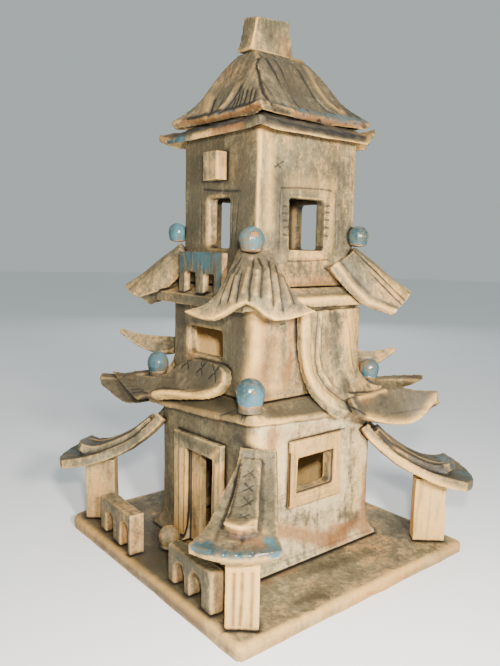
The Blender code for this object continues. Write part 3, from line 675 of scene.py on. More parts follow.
def clay(name, voxel, marks=(), slot="stoneware", nodes=None, grow=0.0):
    """A worked copy of a node, or of several: an even skin of small faces, finer round the incised lines."""
    hand = bpy.context.scene.pagoda_hand
    nodes = nodes or [name]
    bm = bmesh.new()
    for node in nodes:
        bm.from_mesh(NODES[node].data)
    bmesh.ops.remove_doubles(bm, verts=bm.verts, dist=1e-6)
    tree = BVHTree.FromBMesh(bm)
    for mark in marks:
        mark.laid = laid(mark.line, tree)
    if grow:
        bm.normal_update()
        for vert in bm.verts:
            vert.co += vert.normal * vert.calc_shell_factor() * grow * MM
    mesh = bpy.data.meshes.new(name)
    bm.to_mesh(mesh)
    bm.free()
    obj = bpy.data.objects.new(name + "_clay", mesh)
    bpy.context.scene.collection.objects.link(obj)
    skin = obj.modifiers.new("Skin", "REMESH")
    skin.mode = "VOXEL"
    skin.voxel_size = voxel * MM * hand.skin
    soft = obj.modifiers.new("Soft", "SMOOTH")
    soft.factor = 0.5
    soft.iterations = hand.softness
    held = obj.evaluated_get(bpy.context.evaluated_depsgraph_get())
    made = bpy.data.meshes.new_from_object(held)
    obj.modifiers.clear()
    obj.data = made
    fine = [mark.laid for mark in marks if mark.kind in ("groove", "lap")]
    for reach in (1.5, 1.0) if fine else ():
        refine(made, fine, reach)
    made.shade_smooth()
    made.materials.clear()
    made.materials.append(material(slot))
    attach(obj, "root")
    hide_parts(*nodes)
    slab = Slab(obj)
    wobble = hand.wobble / MM
    slab.move += wobble * (grain(slab.points, 17.0, 1) + grain(slab.points, 5.0, 2) * 0.35 - 0.5)
    joints(slab, nodes)
    slab.work(marks)
    return slab


def refine(mesh, lines, reach):
    """Splits the edges that lie near the lines."""
    points = read(mesh.vertices, "co", len(mesh.vertices)) / MM
    close = np.zeros(len(points), bool)
    for line in lines:
        low = line.min(0) - reach
        high = line.max(0) + reach
        picked = np.nonzero(((points >= low) & (points <= high)).all(1))[0]
        if len(picked):
            close[picked[to_line(points[picked], line)[0] < reach]] = True
    bm = bmesh.new()
    bm.from_mesh(mesh)
    bm.verts.ensure_lookup_table()
    bm.edges.index_update()
    edges = {edge for i in np.nonzero(close)[0] for edge in bm.verts[i].link_edges}
    edges = sorted(edges, key=lambda edge: edge.index)
    bmesh.ops.subdivide_edges(bm, edges=edges, cuts=1, use_grid_fill=True)
    bmesh.ops.triangulate(bm, faces=[face for face in bm.faces if len(face.verts) > 4])
    bm.to_mesh(mesh)
    bm.free()


def joints(slab, nodes):
    """Darkens where the piece meets its neighbours: partly stain in the joint, partly painted shade between
    the parts.
    """
    reach = JOINT_NEAR * MM
    low = slab.points.min(0) * MM - reach
    high = slab.points.max(0) * MM + reach
    bm = bmesh.new()
    for node in NODES:
        a, b = BOXES[node]
        if node not in nodes and all(a[i] < high[i] and b[i] > low[i] for i in range(3)):
            bm.from_mesh(NODES[node].data)
    tree = BVHTree.FromBMesh(bm)
    bm.free()
    found = np.full(len(slab.points), np.inf)
    for i, p in enumerate(slab.points * MM):
        hit = tree.find_nearest(p, reach)
        if hit[3] is not None:
            found[i] = hit[3] / MM
    slab.paints["cut"] = np.maximum(slab.paints["cut"], np.exp(-((found / JOINT_DARK) ** 2)))
    slab.paints["wash"] += 0.35 * np.exp(-((found / JOINT_SHADE) ** 2))


def piece_names(prefix):
    return sorted(n for n in NODES if n.startswith(prefix))


# Marks of the maker's hand, in millimetres

# Bare patches in the glaze of the beads
BEAD_MARKS = {
    "bead_high_front": [glaze_on([(49.8, -52.8, 210.8), (50.4, -51.2, 211.3)], 1.9, -1.5, 0.3)],
    "bead_low_front": [glaze_on([(60.5, -58.4, 123.9)], 1.6, -1.2, 0.3)],
    "bead_low_right": [glaze_on([(45.5, 44.5, 124.6)], 4, -1.6, 0.2)],
}

UPPER_MARKS = [
    # Right wall: lines round the window, five short nicks on each side, a scratched X
    groove([(38, -22.8, 238.3), (38, -8, 239.3), (38, 9.7, 239.8), (38, 21.5, 239.4)]),
    groove([(38, -22.7, 236), (38, -22.9, 223.3), (38, -22.8, 203)], dark=0.55),
    groove([(38, 24.2, 240.8), (38, 25.4, 222), (38, 25.8, 203)], dark=0.45),
    groove([(38, -17.3, 195.4), (38, -0.6, 195.4), (38, 17.7, 196.3), (38, 20.5, 195.8)], dark=0.9),
    *each(
        groove,
        (),
        [(38, -20.5, 227.8), (38, -17.3, 228)],
        [(38, -21.4, 223.8), (38, -16.8, 224)],
        [(38, -20.8, 219.6), (38, -16.6, 219.6)],
        [(38, -20, 215.3), (38, -15.8, 215.9)],
        [(38, -20.1, 211.2), (38, -16, 210.9)],
        [(38, 15.4, 229.7), (38, 19.5, 230.2)],
        [(38, 15.4, 225.8), (38, 19.3, 226)],
        [(38, 15.3, 221.3), (38, 19.6, 221.2)],
        [(38, 15.3, 216.4), (38, 19.3, 216.3)],
        [(38, 15.2, 211.6), (38, 18.7, 211.2)],
    ),
    groove([(38, -28, 249.6), (38, -20.9, 253.9)], width=0.5),
    groove([(38, -26.4, 252.5), (38, -23, 249.7)], width=0.5),
    wash_on([(38, -24, 245), (38, -23, 205)], 7, 0.45),
    wash_on([(38, -8, 258), (38, 24, 256)], 12, 0.25),
    wash_on([(38, 30, 250), (38, 29, 215)], 6, 0.3),
    wash_on([(38, -12, 189), (38, 16, 189)], 5, 0.25),
    flash_on([(38, -12, 182), (38, 8.4, 182.5), (38, 31, 183)], 4.5, 0.7),
    wash_on([(38, -14, 178), (38, 30, 178)], 2.5, 0.8),
    pale_on([(38, -14, 242), (38, 18, 242)], 6, 0.25),
    pale_on([(38, -12, 200), (38, 12, 199)], 3, 0.5),
    pale_on([(38, 20, 233), (38, 20.5, 204)], 3.5, 0.35),
    pale_on([(38, -32, 262), (38, -32, 215)], 4, 0.5),
    # Front wall: one line under the box, upright lines beside the window
    groove([(-17, -40.3, 239), (1.1, -40.3, 237.2), (21.4, -40.3, 236.2)], width=0.8, dark=1),
    groove([(-18.5, -40.3, 232.8), (-18.5, -40.3, 203.5)], dark=0.35),
    groove([(20, -40.3, 231.7), (17.7, -40.3, 213.5), (16.3, -40.3, 199.2)], dark=0.5),
    groove([(14.5, -40.3, 232), (13.5, -40.3, 202)], dark=0.3),
    wash_on([(-25, -40.3, 262), (-28, -40.3, 205)], 9, 0.5),
    wash_on([(24, -40.3, 258), (22, -40.3, 205)], 9, 0.45),
    wash_on([(-8, -40.3, 248), (-8, -40.3, 238)], 7, 0.6),
    # The joint along the front corner is a pale raised line
    ridge([(37.6, -39.9, 268), (37.8, -39.5, 258), (37.6, -40, 240), (37.6, -40.1, 205)], 0.8, 0.2, 0.8),
]
BOX_MARKS = [flash_on([(9.5, -45, 258), (9.5, -45, 246)], 3.5, 0.5)]

FAN_MARKS = [
    *each(
        groove,
        (0.75, 1.2, 0.9),
        [(45.3, -49, 197.6), (48.7, -52.2, 192), (53.2, -57.9, 182.7), (57.1, -60.8, 173.9)],
        [(46.2, -46.9, 198.6), (51.6, -47.1, 193), (56.1, -51.3, 184.4), (59.8, -54.8, 176.1)],
        [(50.4, -41.5, 197.4), (56.7, -45.5, 187), (62.2, -47.6, 176), (63.8, -48.6, 171.4)],
        [(52.6, -38, 194.8), (57.7, -40.4, 187), (63.5, -42.9, 175.9), (66.2, -43.3, 168.3)],
        [(44.3, -56.6, 190.1), (46.9, -60.7, 182.3), (51, -65.3, 173.2)],
    ),
    groove([(58.5, -36.5, 187), (63.2, -35.5, 179.2), (66.5, -35.3, 172.3)], 0.9, 1, 0.8),
    groove(
        [(38.6, -52.8, 197.9), (37.7, -57.6, 189.8), (37.9, -63.3, 180), (38.9, -68.3, 171.4)],
        0.9, 0.9, 0.8,
    ),
    groove([(37, -54.8, 194), (33.5, -60, 184), (32, -66, 174)], 0.8, 0.8, 0.7),
    groove([(41, -54.5, 193.5), (42, -60.5, 183), (44.5, -66.5, 172.5)], 0.8, 0.8, 0.7),
    *each(
        ridge,
        (1.9, 1.2, 0.1),
        [(47.5, -53.5, 191), (52, -60.5, 179)],
        [(52, -51, 190), (57.5, -57, 178)],
    ),
    ridge([(54, -44.5, 191), (61, -50, 177)], 2.1, 1.4, 0.15),
    ridge([(57.5, -42, 189), (64.5, -45.5, 175)], 1.9, 1.2, 0.15),
    ridge([(59.5, -38, 187), (65.5, -39, 174)], 2, 1.2, 0.1),
    ridge([(43.5, -59.5, 187), (47.5, -66, 175)], 1.9, 1.2, 0.1),
    ridge([(39.5, -59, 187), (40.5, -66.5, 175)], 1.9, 1, 0.1),
    pale_on(
        [(18, -75, 165), (37, -72, 161.5), (55.6, -62, 171), (66, -48.5, 162), (70, -21, 166)],
        2.8, 0.9, 0.3,
    ),
    wash_on([(38, -53, 196), (46, -64, 176)], 9, 0.6),
    wash_on([(50, -48, 196), (56, -56, 176)], 8, 0.5),
    wash_on([(52, -40, 196), (64, -40, 175)], 8, 0.5),
]

HOOD_MARKS = [
    ridge([(46.2, 19.5, 193.5), (50, 28.5, 181), (56.5, 38.5, 170), (68.5, 51, 164.5)], 1.8, 0.9, 0.8),
    groove([(46.5, 23, 196), (51, 31.5, 184), (57.5, 41, 173), (68.5, 54, 166.5)], 0.9, 0.8, 0.6),
    wash_on([(48.2, 26.4, 192.8), (49.5, 26.5, 187.9), (53, 31.9, 181.8)], 7, 0.5),
    wash_on([(59.2, 40.4, 167.3), (62.7, 43.8, 166.4), (65.4, 47.4, 167)], 3.5, 0.7),
    flash_on([(63.5, 46.2, 163), (68.1, 49.6, 162.7)], 3, 0.5),
    pale_on([(55, 45, 189), (64, 60, 177)], 6, 0.35),
]

MIDDLE_MARKS = [
    pale_on([(41.4, -44.8, 166), (42.6, -44.3, 154), (41.9, -44.6, 139.8), (38.4, -45, 126)], 5, 1, 0.4),
    flash_on([(44.8, -41.3, 160), (44.6, -41.9, 140), (44.3, -42.5, 120)], 4.5, 1.2),
    wash_on([(27, -45, 166), (27.2, -45, 147.3), (26, -45, 130)], 9, 0.75),
    wash_on([(-35, -45, 165), (-37, -45, 135)], 9, 0.5),
    flash_on([(45, -18.8, 164), (45, -17.1, 140), (45, -22.7, 119)], 3, 0.9),
    wash_on([(45, -24.5, 164), (45, -23.5, 140)], 2, 0.7),
    flash_on([(45, -32, 150), (45, -34, 126)], 3, 0.7),
    wash_on([(45, -33, 160), (45, -35, 140)], 4, 0.35),
    pale_on([(45, -28, 140), (45, -30, 118)], 5, 0.4),
    wash_on([(45, -38, 117), (45, -20, 116)], 3, 0.5),
    groove([(45, -26.8, 158.3), (45, -22.3, 158.6)], 0.5, 0.3),
    flash_on([(-20, -45, 136)], 3.5, 1),
]

SWOOP_MARKS = [
    *each(
        groove,
        (0.7,),
        [(-21.3, -53.9, 124.1), (-11.8, -52, 132.3)],
        [(-17.2, -52.2, 130.8), (-12.7, -53.5, 124.8)],
        [(-4.3, -53.7, 124), (4.9, -52.1, 132.1)],
        [(-0.9, -52.2, 130.5), (2.2, -53.9, 123.4)],
        [(9.8, -54.3, 122.4), (18.3, -51, 131.5)],
        [(11.5, -52.1, 131.1), (18.1, -54.3, 121.7)],
    ),
    # The rim is a thick pale roll with a fold in it
    ridge(
        [(-30.6, -67.7, 107.5), (-16, -64.9, 110.5), (1.5, -60.2, 111), (13, -57.8, 113),
         (20.7, -55.2, 117)],
        2.2, 0.8, 0.9,
    ),
    groove(
        [(-36, -66, 108), (-29, -63.5, 111.8), (-22.8, -62.5, 112.2), (-6.5, -60.5, 113.8)],
        0.9, 0.8, 0.7,
    ),
    pale_on(
        [(-30.6, -68.7, 105), (-10, -65, 107), (1.5, -61.5, 108.5), (13, -59, 111), (23, -54.8, 117),
         (24.6, -53, 125)],
        3.6, 0.55, 0.3,
    ),
    flash_on([(-67.4, -74.2, 112.9), (-60, -71.5, 112)], 6, 0.35),
    wash_on([(1, -56, 119), (13.7, -56.5, 118.4)], 6, 0.5),
    wash_on([(-34, -63, 111), (-24, -60, 113)], 4, 0.8),
    *each(
        groove,
        (0.6, 0.5, 0.3),
        [(-70, -74, 113.5), (-61.4, -70.9, 114)],
        [(-66.2, -73.1, 112.5), (-58, -70.6, 112)],
        [(-63.5, -72.6, 109.7), (-56.4, -71.2, 108.7)],
        [(-60, -72.8, 107.4), (-50, -70.2, 108.7)],
    ),
    groove([(-56, -72.6, 105.4), (-47.7, -69.9, 107.3), (-43.2, -68.9, 106.9)], 0.7, 0.7, 0.6),
    groove([(-53.5, -72.3, 103.5), (-44.8, -69.8, 106), (-37.7, -68.8, 106.1)], 0.7, 0.7, 0.7),
]

SKIRT_MARKS = [
    groove(
        [(29, -57.5, 104.6), (31, -55.2, 106.2), (32.6, -54.6, 106.6), (34.1, -53.1, 107.7),
         (38.2, -48.8, 110.3)],
        0.8, 0.8,
    ),
    groove([(47.8, -57.9, 106), (51, -54.2, 112)], 0.8, 0.7),
    groove([(50, -58, 107), (53.4, -55.2, 112.6)], 0.7, 0.5, 0.8),
    wash_on([(-50, -54, 105), (10, -55, 105), (40, -54, 108)], 8, 1),
    wash_on([(56, -40, 106), (56, -20, 107), (56, 20, 107)], 6, 0.6),
    pale_on([(46, -58, 101), (58, -50, 100.5), (58, -30, 100.5)], 3, 0.9),
    flash_on([(58, -30, 100), (58, 0, 100)], 3, 0.5),
]

CURTAIN_MARKS = [
    ridge(
        [(52.9, -12.1, 166), (52.9, -12, 147), (53.5, -11.1, 132.4), (55.8, -7.7, 123.6),
         (58.6, -1.9, 116.2), (61.2, 4.9, 110.4)],
        3.4, 1, 0.8,
    ),
    groove(
        [(53.4, -2.9, 165.1), (53.6, -3.9, 149.4), (53.7, -4.8, 137.7), (55.2, -3.1, 127.1),
         (57.7, 3.2, 118.4), (60.3, 11, 111.8), (62.6, 19.4, 107.1)],
        0.8, 0.9, 0.6,
    ),
    ridge(
        [(53.1, -0.4, 164), (53.3, -1.6, 149.2), (53.7, -2.7, 139.9), (55.1, -0.5, 128),
         (56.9, 6.1, 119.7)],
        0.9, 0.5, 0.9,
    ),
    groove(
        [(52.8, 1.6, 163.1), (53.1, 1.1, 143), (54.1, 2, 131.2), (56, 7.8, 121.8), (58.3, 14.4, 115.3)],
        0.7, 0.5, 0.45,
    ),
    groove(
        [(53.2, -8.2, 165), (53.3, -8.6, 140), (54.5, -6.8, 128), (57.6, -0.6, 118), (60.6, 6.5, 111.5)],
        0.7, 0.4, 0.3,
    ),
    flash_on([(53.4, -4.6, 163), (53.6, -5.6, 140), (55, -4.2, 128)], 1.8, 0.9),
    flash_on([(52, 6, 164), (52.6, 5.6, 144), (53.6, 8, 128)], 2.4, 0.45),
    wash_on([(52.9, -12.1, 150), (53.5, -11.1, 132.4), (56.8, -5.7, 121)], 1.6, 0.8),
    flash_on([(57.7, 6.2, 117), (60.3, 13, 110.8)], 3, 0.6),
    wash_on([(51.9, 13.8, 160), (52.1, 13.7, 141.8), (53.3, 15.8, 129.5), (55.9, 18.8, 120.4)], 5, 0.45),
    wash_on([(52.3, 9.5, 164), (52.3, 13.5, 160)], 4, 0.6),
    wash_on([(56.7, 22.6, 118.3), (58.1, 17.7, 114.5)], 4, 0.7),
    pale_on([(50.5, 25, 160), (50.6, 27, 140), (52.5, 30, 128)], 4, 0.6),
    iron_on([(52.2, 9.6, 139)], 0.9, 0.9),
    groove([(59, 21, 113.8), (59.5, 28, 112.8), (60.2, 37, 113), (61.2, 46, 112.9)], 1.1, 1, 1),
]

WING_MARKS = [
    groove([(64.5, 15.5, 106), (70, 16.8, 105.1), (72.1, 23.2, 101.5)], 0.7, 0.6, 0.9),
    ridge([(67, 22, 111.5), (68, 33, 112), (69, 45, 113.5)], 1.6, 1, 0.5),
    pale_on(
        [(73.6, 24, 97), (75.8, 47.5, 91), (81, 61, 91), (85.5, 67.5, 99), (87.8, 74, 108)],
        3.6, 1, 0.3,
    ),
    flash_on([(67.7, 24.1, 109.6), (67.8, 32.2, 110.4)], 4.5, 0.6),
    wash_on([(71.4, 42.4, 104.7), (76, 56.5, 102.4), (82, 66, 105)], 8, 0.4),
]

LEDGE_MARKS = [
    pale_on([(50, -46, 172), (50, 0, 172.5), (50, 40, 172)], 3, 0.9),
    iron_on([(50, -10, 167.8), (50, -7.5, 166.9)], 1.8, 1.2),
    groove([(50, 4, 166.9), (50, 10.6, 167.3), (50, 16.8, 167.6)], 0.7, 0.6),
    wash_on([(47.8, -30, 175), (47.8, 30, 175)], 4, 0.7),
    wash_on([(-25, -56.5, 171), (15, -56.5, 171)], 4, 0.5),
]

ROOF_MARKS = [
    # Right side: one big slab lies over the rest, and a narrow one beside it, with painted shadow at the
    # foot of their edges
    lap(
        [(12.9, 6.1, 318.5), (14.2, -11.5, 317.1), (17, -24, 314.2), (20, -28.1, 309.1),
         (26.2, -31, 301.9), (35.3, -34.8, 289.7), (41.1, -34.2, 283.2)],
        1.6, 24, 1,
    ),
    lap(
        [(14.5, 8.3, 316.8), (22.1, 8.7, 307.1), (30.9, 10.4, 294.2), (36.6, 14.8, 287.4),
         (38.5, 22.9, 285.7)],
        0.9, 14, 0.55,
    ),
    ridge(
        [(14.8, 16.6, 316.6), (25.2, 15.7, 302.7), (32.9, 19.7, 292), (35.7, 26.4, 288.7)],
        2.4, 0.5, 0.5,
    ),
    ridge([(11.7, 7, 319.8), (9.7, 17, 321.6)], 2.2, 1.6, 0.2),
    flash_on([(17, 20, 313), (27, 21, 300), (34, 27, 290)], 4.5, 0.3),
    wash_on([(18, -10, 312), (30, -10, 296)], 12, 0.3),
    glaze_on([(41.5, -14, 284.5), (42.1, 2.1, 284.2), (41.6, 17.4, 284.8), (41.5, 38, 285.5)], 3, 1, 0.35),
    glaze_on([(40.2, -25, 286), (40.8, -21.5, 284.5)], 2.2, 0.9),
    iron_on([(41, -28.3, 281.6), (40.2, -21.2, 281.2)], 2.4, 0.45),
    flash_on([(42.4, -17, 281), (42.4, 6.7, 281), (42.4, 36, 281.5)], 3, 1.6, 0.3),
    # Front side: three slabs lap over each other, with deep combing between them; the dark lines along their
    # edges are partly incised and partly painted shadow
    groove(
        [(1.5, -41.7, 283.4), (4.5, -39.2, 286.5), (7.6, -36.6, 290.6), (10.2, -32, 299.3)],
        1.3, 1.4, 1, 0.1,
    ),
    ridge([(-2.5, -41.7, 284.4), (0.5, -39.2, 287.5), (3.6, -36.6, 291.6), (6.2, -32, 300.3)], 3.2, 1, 0.2),
    groove([(-9.7, -41.7, 283.4), (-12.2, -37.8, 288.4), (-13.8, -34.5, 295.2)], 1.2, 1.2, 0.9, 0.1),
    ridge([(-13.7, -41.7, 284.4), (-16.2, -37.8, 289.4), (-17.8, -34.5, 296.2)], 3, 0.8, 0.3),
    *each(
        groove,
        (0.9, 1.1),
        [(12.1, -35.2, 293.3), (14.9, -41.6, 282.6)],
        [(14.7, -34.2, 295.5), (18.8, -40.4, 283.4)],
        [(18.4, -34.1, 295.7), (22.8, -40.4, 283.6)],
    ),
    groove([(23, -34.7, 294.8), (27.8, -40.3, 283.7)], 0.9, 1),
    groove([(27.5, -35.7, 293.1), (31.7, -40.7, 283.5)], 0.8, 0.8),
    groove([(10.4, -36, 290.6), (11.4, -41.2, 283)], 0.8, 0.8),
    wash_on([(12, -35, 292), (30, -37, 290)], 7, 0.45),
    pale_on([(-22, -33, 297), (-18, -39, 286)], 4, 0.6),
    flash_on([(6.4, -24, 316.3), (14, -30.5, 306)], 6, 0.2),
    # A dark line along the front lip: painted shadow above the pale and blue band
    iron_on([(-30, -41.6, 284.2), (0, -41.4, 284.6), (34, -40.8, 284.6)], 1.6, 1.2, 0.2),
    flash_on([(-34, -42.5, 281), (0, -42.5, 281), (38, -42.5, 281.5)], 3, 1.3, 0.3),
    glaze_on([(-10, -42.5, 282.6), (24, -42.5, 282.8)], 1.5, 0.5, 0.5),
]

# Painted shadow under the roof lip, with a thin pale wavy line along the foot
EAVES_SIDE_MARKS = [
    wash_on([(52, -50, 274), (52, -20, 273.5), (52, 10, 274), (52, 36, 274.5)], 5, 1.2, 0.3),
    iron_on([(52, -46, 273.2), (52, -20, 272.6), (52, 10, 272.4), (52, 34, 273.2)], 3.2, 0.5, 0.6),
    pale_on([(52, -47, 267.5), (52, -30, 267), (52, -10, 266.4), (52, 15, 267), (52, 40, 267.5)], 1.5, 1.5),
    pale_on([(44, 41, 279), (52, 39, 272), (50, 47, 274)], 6, 0.9),
]
# Terracotta and blue smears, an orange tip on the left, and painted shadow along the top under the roof lip
EAVES_FRONT_MARKS = [
    flash_on([(-50, -52, 272), (-42, -52, 271)], 6, 1.1, 0.3),
    glaze_on([(-40, -52, 269), (-22, -52, 269.5)], 3, 0.9),
    pale_on([(-10, -52, 269), (6, -52, 269.5)], 3, 0.9),
    flash_on([(6, -52, 270), (34, -52, 270.5)], 3.8, 1.3),
    wash_on([(-36, -52, 274.5), (0, -52, 274.5), (46, -52, 274)], 2.6, 1.4, 0.3),
    wash_on([(36, -52, 269), (50, -52, 269)], 4, 0.7),
]

FINIAL_MARKS = [
    ridge([(4.6, -16.4, 342), (4.6, -18.4, 331.8), (3.5, -18.8, 324.3)], 0.9, 0.3, 1.2),
    wash_on([(4.6, -6.1, 339.4), (4.6, -4.8, 335.5)], 5, 0.4),
    flash_on([(4.6, 7, 331.1), (4.6, 11, 327.8)], 6, 0.4),
    wash_on([(-4, -18, 338), (-5, -18, 326)], 8, 0.3),
]

GROUND_SIDE_MARKS = [
    groove([(51.2, -23.5, 85.6), (51.2, -10.4, 86.6), (51.2, 14.1, 87.4), (51, 28.9, 86.7)], 0.6, 0.6, 0.9),
    flash_on([(51, -30, 92), (51, -14, 92), (51, 10, 92)], 7, 0.6),
    wash_on([(51, 33, 84), (51, 36.2, 45.5), (51.2, 32.4, 28)], 9, 0.55),
    wash_on([(51, -34, 58), (51, -24, 40), (51, -4.6, 33), (51, 14, 31), (51, 30, 34)], 8, 0.6),
    flash_on([(51.2, 54.1, 54), (52.3, 52.3, 30), (54.1, 48.6, 12.7)], 7, 1.5),
    flash_on([(53.5, 44, 17), (53.2, 30, 19), (52.6, 18, 22)], 4, 1),
    flash_on(
        [(51, -40, 40), (51.2, -26.2, 30.6), (51.5, -10.2, 24.6), (52.4, 8.8, 15.6), (54, 28, 13)],
        6, 1.5,
    ),
    wash_on([(53.8, 15.3, 14.3), (53.6, 29.7, 17), (52.4, 42.3, 21.6)], 4, 1.1),
    wash_on([(51.4, 27.6, 27.5), (52.3, 42.5, 24.8)], 3, 0.6),
    pale_on([(49.3, -48.5, 92.3), (51, -43.9, 88.2)], 4, 1),
    flash_on([(51, -36.7, 95), (51, -36.4, 75.8), (51, -38.6, 50)], 5, 1.4),
    wash_on([(51, -43, 78), (51, -42, 40)], 4, 0.5),
    pale_on([(51, 41, 74), (51, 43, 45), (51, 40, 30)], 5, 0.45),
    pale_on([(51, -30, 88), (51, -28, 62)], 4, 0.4),
    groove([(53.2, -40, 13), (53.8, 0.6, 12), (54, 29.3, 11.6), (54.7, 54, 10.6)], 0.7, 0.3, 0.35),
]
GROUND_FRONT_MARKS = [
    wash_on([(-42, -51, 90), (-42.2, -51, 20)], 7, 0.35),
    wash_on([(35, -51, 90), (36, -51, 40)], 8, 0.5),
    iron_on([(38, -51, 91), (46, -51, 87)], 4, 0.45),
]

WINDOW_MARKS = [
    groove([(54.5, -19.9, 80), (54.5, -19.2, 62), (54.5, -19, 48.8)], 0.5, 0.3, 0.3),
    groove([(54.5, -20, 52), (54.5, -8.8, 51.6), (54.5, 17.5, 52.4)], 0.5, 0.3, 0.25),
    wash_on([(54.5, -21, 47.5), (54.5, 18, 48)], 3, 0.3),
    flash_on([(54.5, -21, 80), (54.5, -21, 50)], 4, 0.35),
    iron_on([(53, -21.5, 45), (53, 19, 45)], 1.2, 0.9, 0.2),
    iron_on([(53.2, -23, 80), (53.2, -22, 47)], 1, 0.9, 0.2),
]

DOOR_MARKS = [
    groove([(-13.9, -55.3, 71.5), (-14.2, -55.3, 51.4), (-14.2, -55.3, 12)], 0.7, 0.6, 0.8),
    ridge([(-17.8, -55.3, 70), (-18, -55.3, 40), (-18, -55.3, 12)], 1.8, 0.7, 0.3),
    groove([(-21.3, -55.3, 76), (-21, -55.3, 49.3), (-20.7, -55.3, 12)], 0.6, 0.4, 0.4),
    groove([(18.6, -55.3, 70.5), (18.8, -55.3, 40), (18.9, -55.3, 12)], 0.6, 0.4, 0.6),
    ridge([(21.4, -55.3, 70), (21.6, -55.3, 40)], 1.2, 0.5, 0.4),
    wash_on([(-20, -55.3, 78), (24, -55.3, 78.5)], 5, 0.6),
    pale_on([(18, -55.3, 75), (22.7, -55.3, 80)], 2.5, 0.7),
]
LEAF_MARKS = [
    groove([(-10.2, -50, 71), (-9.8, -50, 40), (-10.2, -50, 10)], 0.8, 0.4, 0.35),
    flash_on([(-4.4, -50, 68), (-4, -50, 46)], 1.8, 0.8),
    wash_on([(-8, -50, 30), (-4, -50, 10)], 6, 0.4),
]

PORCH_FRONT_MARKS = [
    *each(
        groove,
        (0.6, 0.5, 0.9),
        [(58.9, -64.2, 76.7), (60.6, -57.5, 80.1)],
        [(58.6, -60.3, 79.7), (64, -59.6, 76.8)],
        [(64.6, -68.7, 71.7), (66.2, -62.4, 74)],
        [(61.9, -65.3, 75), (68.6, -64.8, 71.7)],
        [(71.8, -75.2, 66.8), (72.4, -67.4, 69.5)],
        [(67.5, -70.5, 70.2), (74.4, -70.8, 67.5)],
        [(77.2, -81.2, 64.2), (78.7, -75.4, 65.2)],
        [(75.2, -79.2, 65), (80.4, -78.5, 64.3)],
    ),
    # A dark line beside the laid-on slab: painted shadow along its raised left edge
    iron_on(
        [(53.8, -61.6, 82), (57.8, -66.2, 76.2), (64.1, -73.9, 69.5), (71.9, -82.6, 64.2),
         (77.1, -91, 60.5)],
        0.7, 1, 0.2,
    ),
    pale_on([(77.6, -89.6, 62.8), (85.1, -85.7, 62.6), (84.9, -76.2, 62.8)], 1.8, 1, 0.3),
    flash_on([(82.8, -89.2, 58.6), (90.3, -80.7, 57)], 6, 0.9),
    glaze_on([(78.2, -101.4, 57), (79, -105, 55), (76.1, -106.8, 54)], 4.6, 0.8, 0.6),
    glaze_on(
        [(76, -106.5, 54), (83.7, -103.2, 54.2), (89.2, -99.3, 54.4), (95.1, -93.4, 54.6),
         (100.2, -86.3, 55), (103.8, -77.6, 55)],
        3.4, 0.75, 0.5,
    ),
    glaze_on([(94.2, -75.6, 57.9), (100.6, -76.5, 56), (103.3, -78.4, 55.6)], 3.4, 0.7, 0.6),
    wash_on([(76, -106.5, 54), (89.2, -99.3, 54.4), (103.8, -77.6, 55)], 6, 0.7),
    *each(
        groove,
        (0.7, 0.5, 1),
        [(82.9, -102.6, 55.2), (83.4, -104.4, 53)],
        [(88.4, -98.9, 55.4), (89.6, -100.4, 53)],
        [(93, -93.4, 55.6), (94.6, -94.8, 53)],
        [(97.3, -88, 55.9), (98.7, -89.2, 53.4)],
    ),
    pale_on([(72, -108, 51), (84, -104, 51), (95.6, -94, 51.5), (104.8, -77.5, 52.5)], 2.2, 0.9, 0.2),
]

PORCH_SIDE_MARKS = [
    pale_on(
        [(59.6, 39.5, 80.8), (71.5, 49.3, 71.2), (85.7, 58.6, 61.2), (102.1, 68, 53.3), (110, 76, 53)],
        3.2, 1, 0.3,
    ),
    ridge([(66, 63.5, 79.5), (78.6, 73.5, 69), (85.3, 78.7, 65.5), (92, 84.1, 63.8)], 0.9, 0.4, 0.9),
    iron_on(
        [(60.5, 51, 83), (66.1, 55.8, 76.2), (72.4, 61.3, 71.9), (77.9, 65.9, 68.2), (84.2, 71.1, 64.9),
         (92, 79, 62.4)],
        1.3, 1, 0.3,
    ),
    flash_on([(66.1, 60, 80.2), (74.4, 67, 73)], 3.4, 0.5),
    glaze_on([(94, 84, 56.5), (104, 88, 56), (97.7, 97.2, 55.9)], 12, 0.35, 0.4),
    glaze_on([(86, 90, 64), (92, 86, 64.5), (86, 94, 64)], 7, 0.35, 0.4),
    wash_on([(86, 76, 62), (96, 82, 57), (104, 86, 56)], 14, 1),
]

POST_FRONT_MARKS = [
    *each(
        groove,
        (1, 1.2, 0.55),
        [(85.9, -90.8, 40.2), (85.8, -90.8, 25.7), (85.8, -90.9, 9.6)],
        [(88.6, -87.6, 40.4), (88.6, -87.7, 25.9), (88.1, -88.2, 9.7)],
        [(92, -83.7, 40.6), (92, -83.7, 26.1), (91.8, -84, 9.2)],
    ),
    iron_on([(83.2, -93.7, 8.6), (94.4, -80.9, 8.6)], 1.4, 0.5),
]

PLATE_MARKS = [
    wash_on([(87.4, -44.9, 8), (88.4, -33.9, 8), (89.7, -29, 8)], 4.5, 0.8),
    wash_on([(65.9, -17.9, 8), (70, 10, 8), (72.2, 32.1, 8)], 6, 0.5),
    wash_on([(84, -30, 8), (86, 8, 8), (86, 40, 8)], 7, 0.35),
    wash_on([(47.8, 84.9, 8), (60.8, 76.6, 8), (58, 92, 8)], 13, 0.75),
    flash_on([(60.2, -43.8, 8), (58.2, -18.2, 8)], 5, 0.5),
    wash_on([(-80, -60, 8), (-30, -75, 8), (20, -72, 8)], 18, 1.2),
    wash_on([(-85, -85, 8), (-30, -90, 8), (60, -92, 8)], 12, 1.5),
    wash_on([(-40, 80, 8), (-84, 60, 8), (-84, -20, 8)], 14, 0.5),
    groove([(93.5, -49.2, 8), (96.6, -42.1, 8)], 0.7, 0.3, 0.6),
    pale_on([(98, -96, 8), (99, -40, 8), (99, 60, 8)], 3, 0.5),
    pale_on([(-96, -96, 8), (0, -97, 8), (98, -96, 8)], 2.5, 0.4),
]


# Pieces


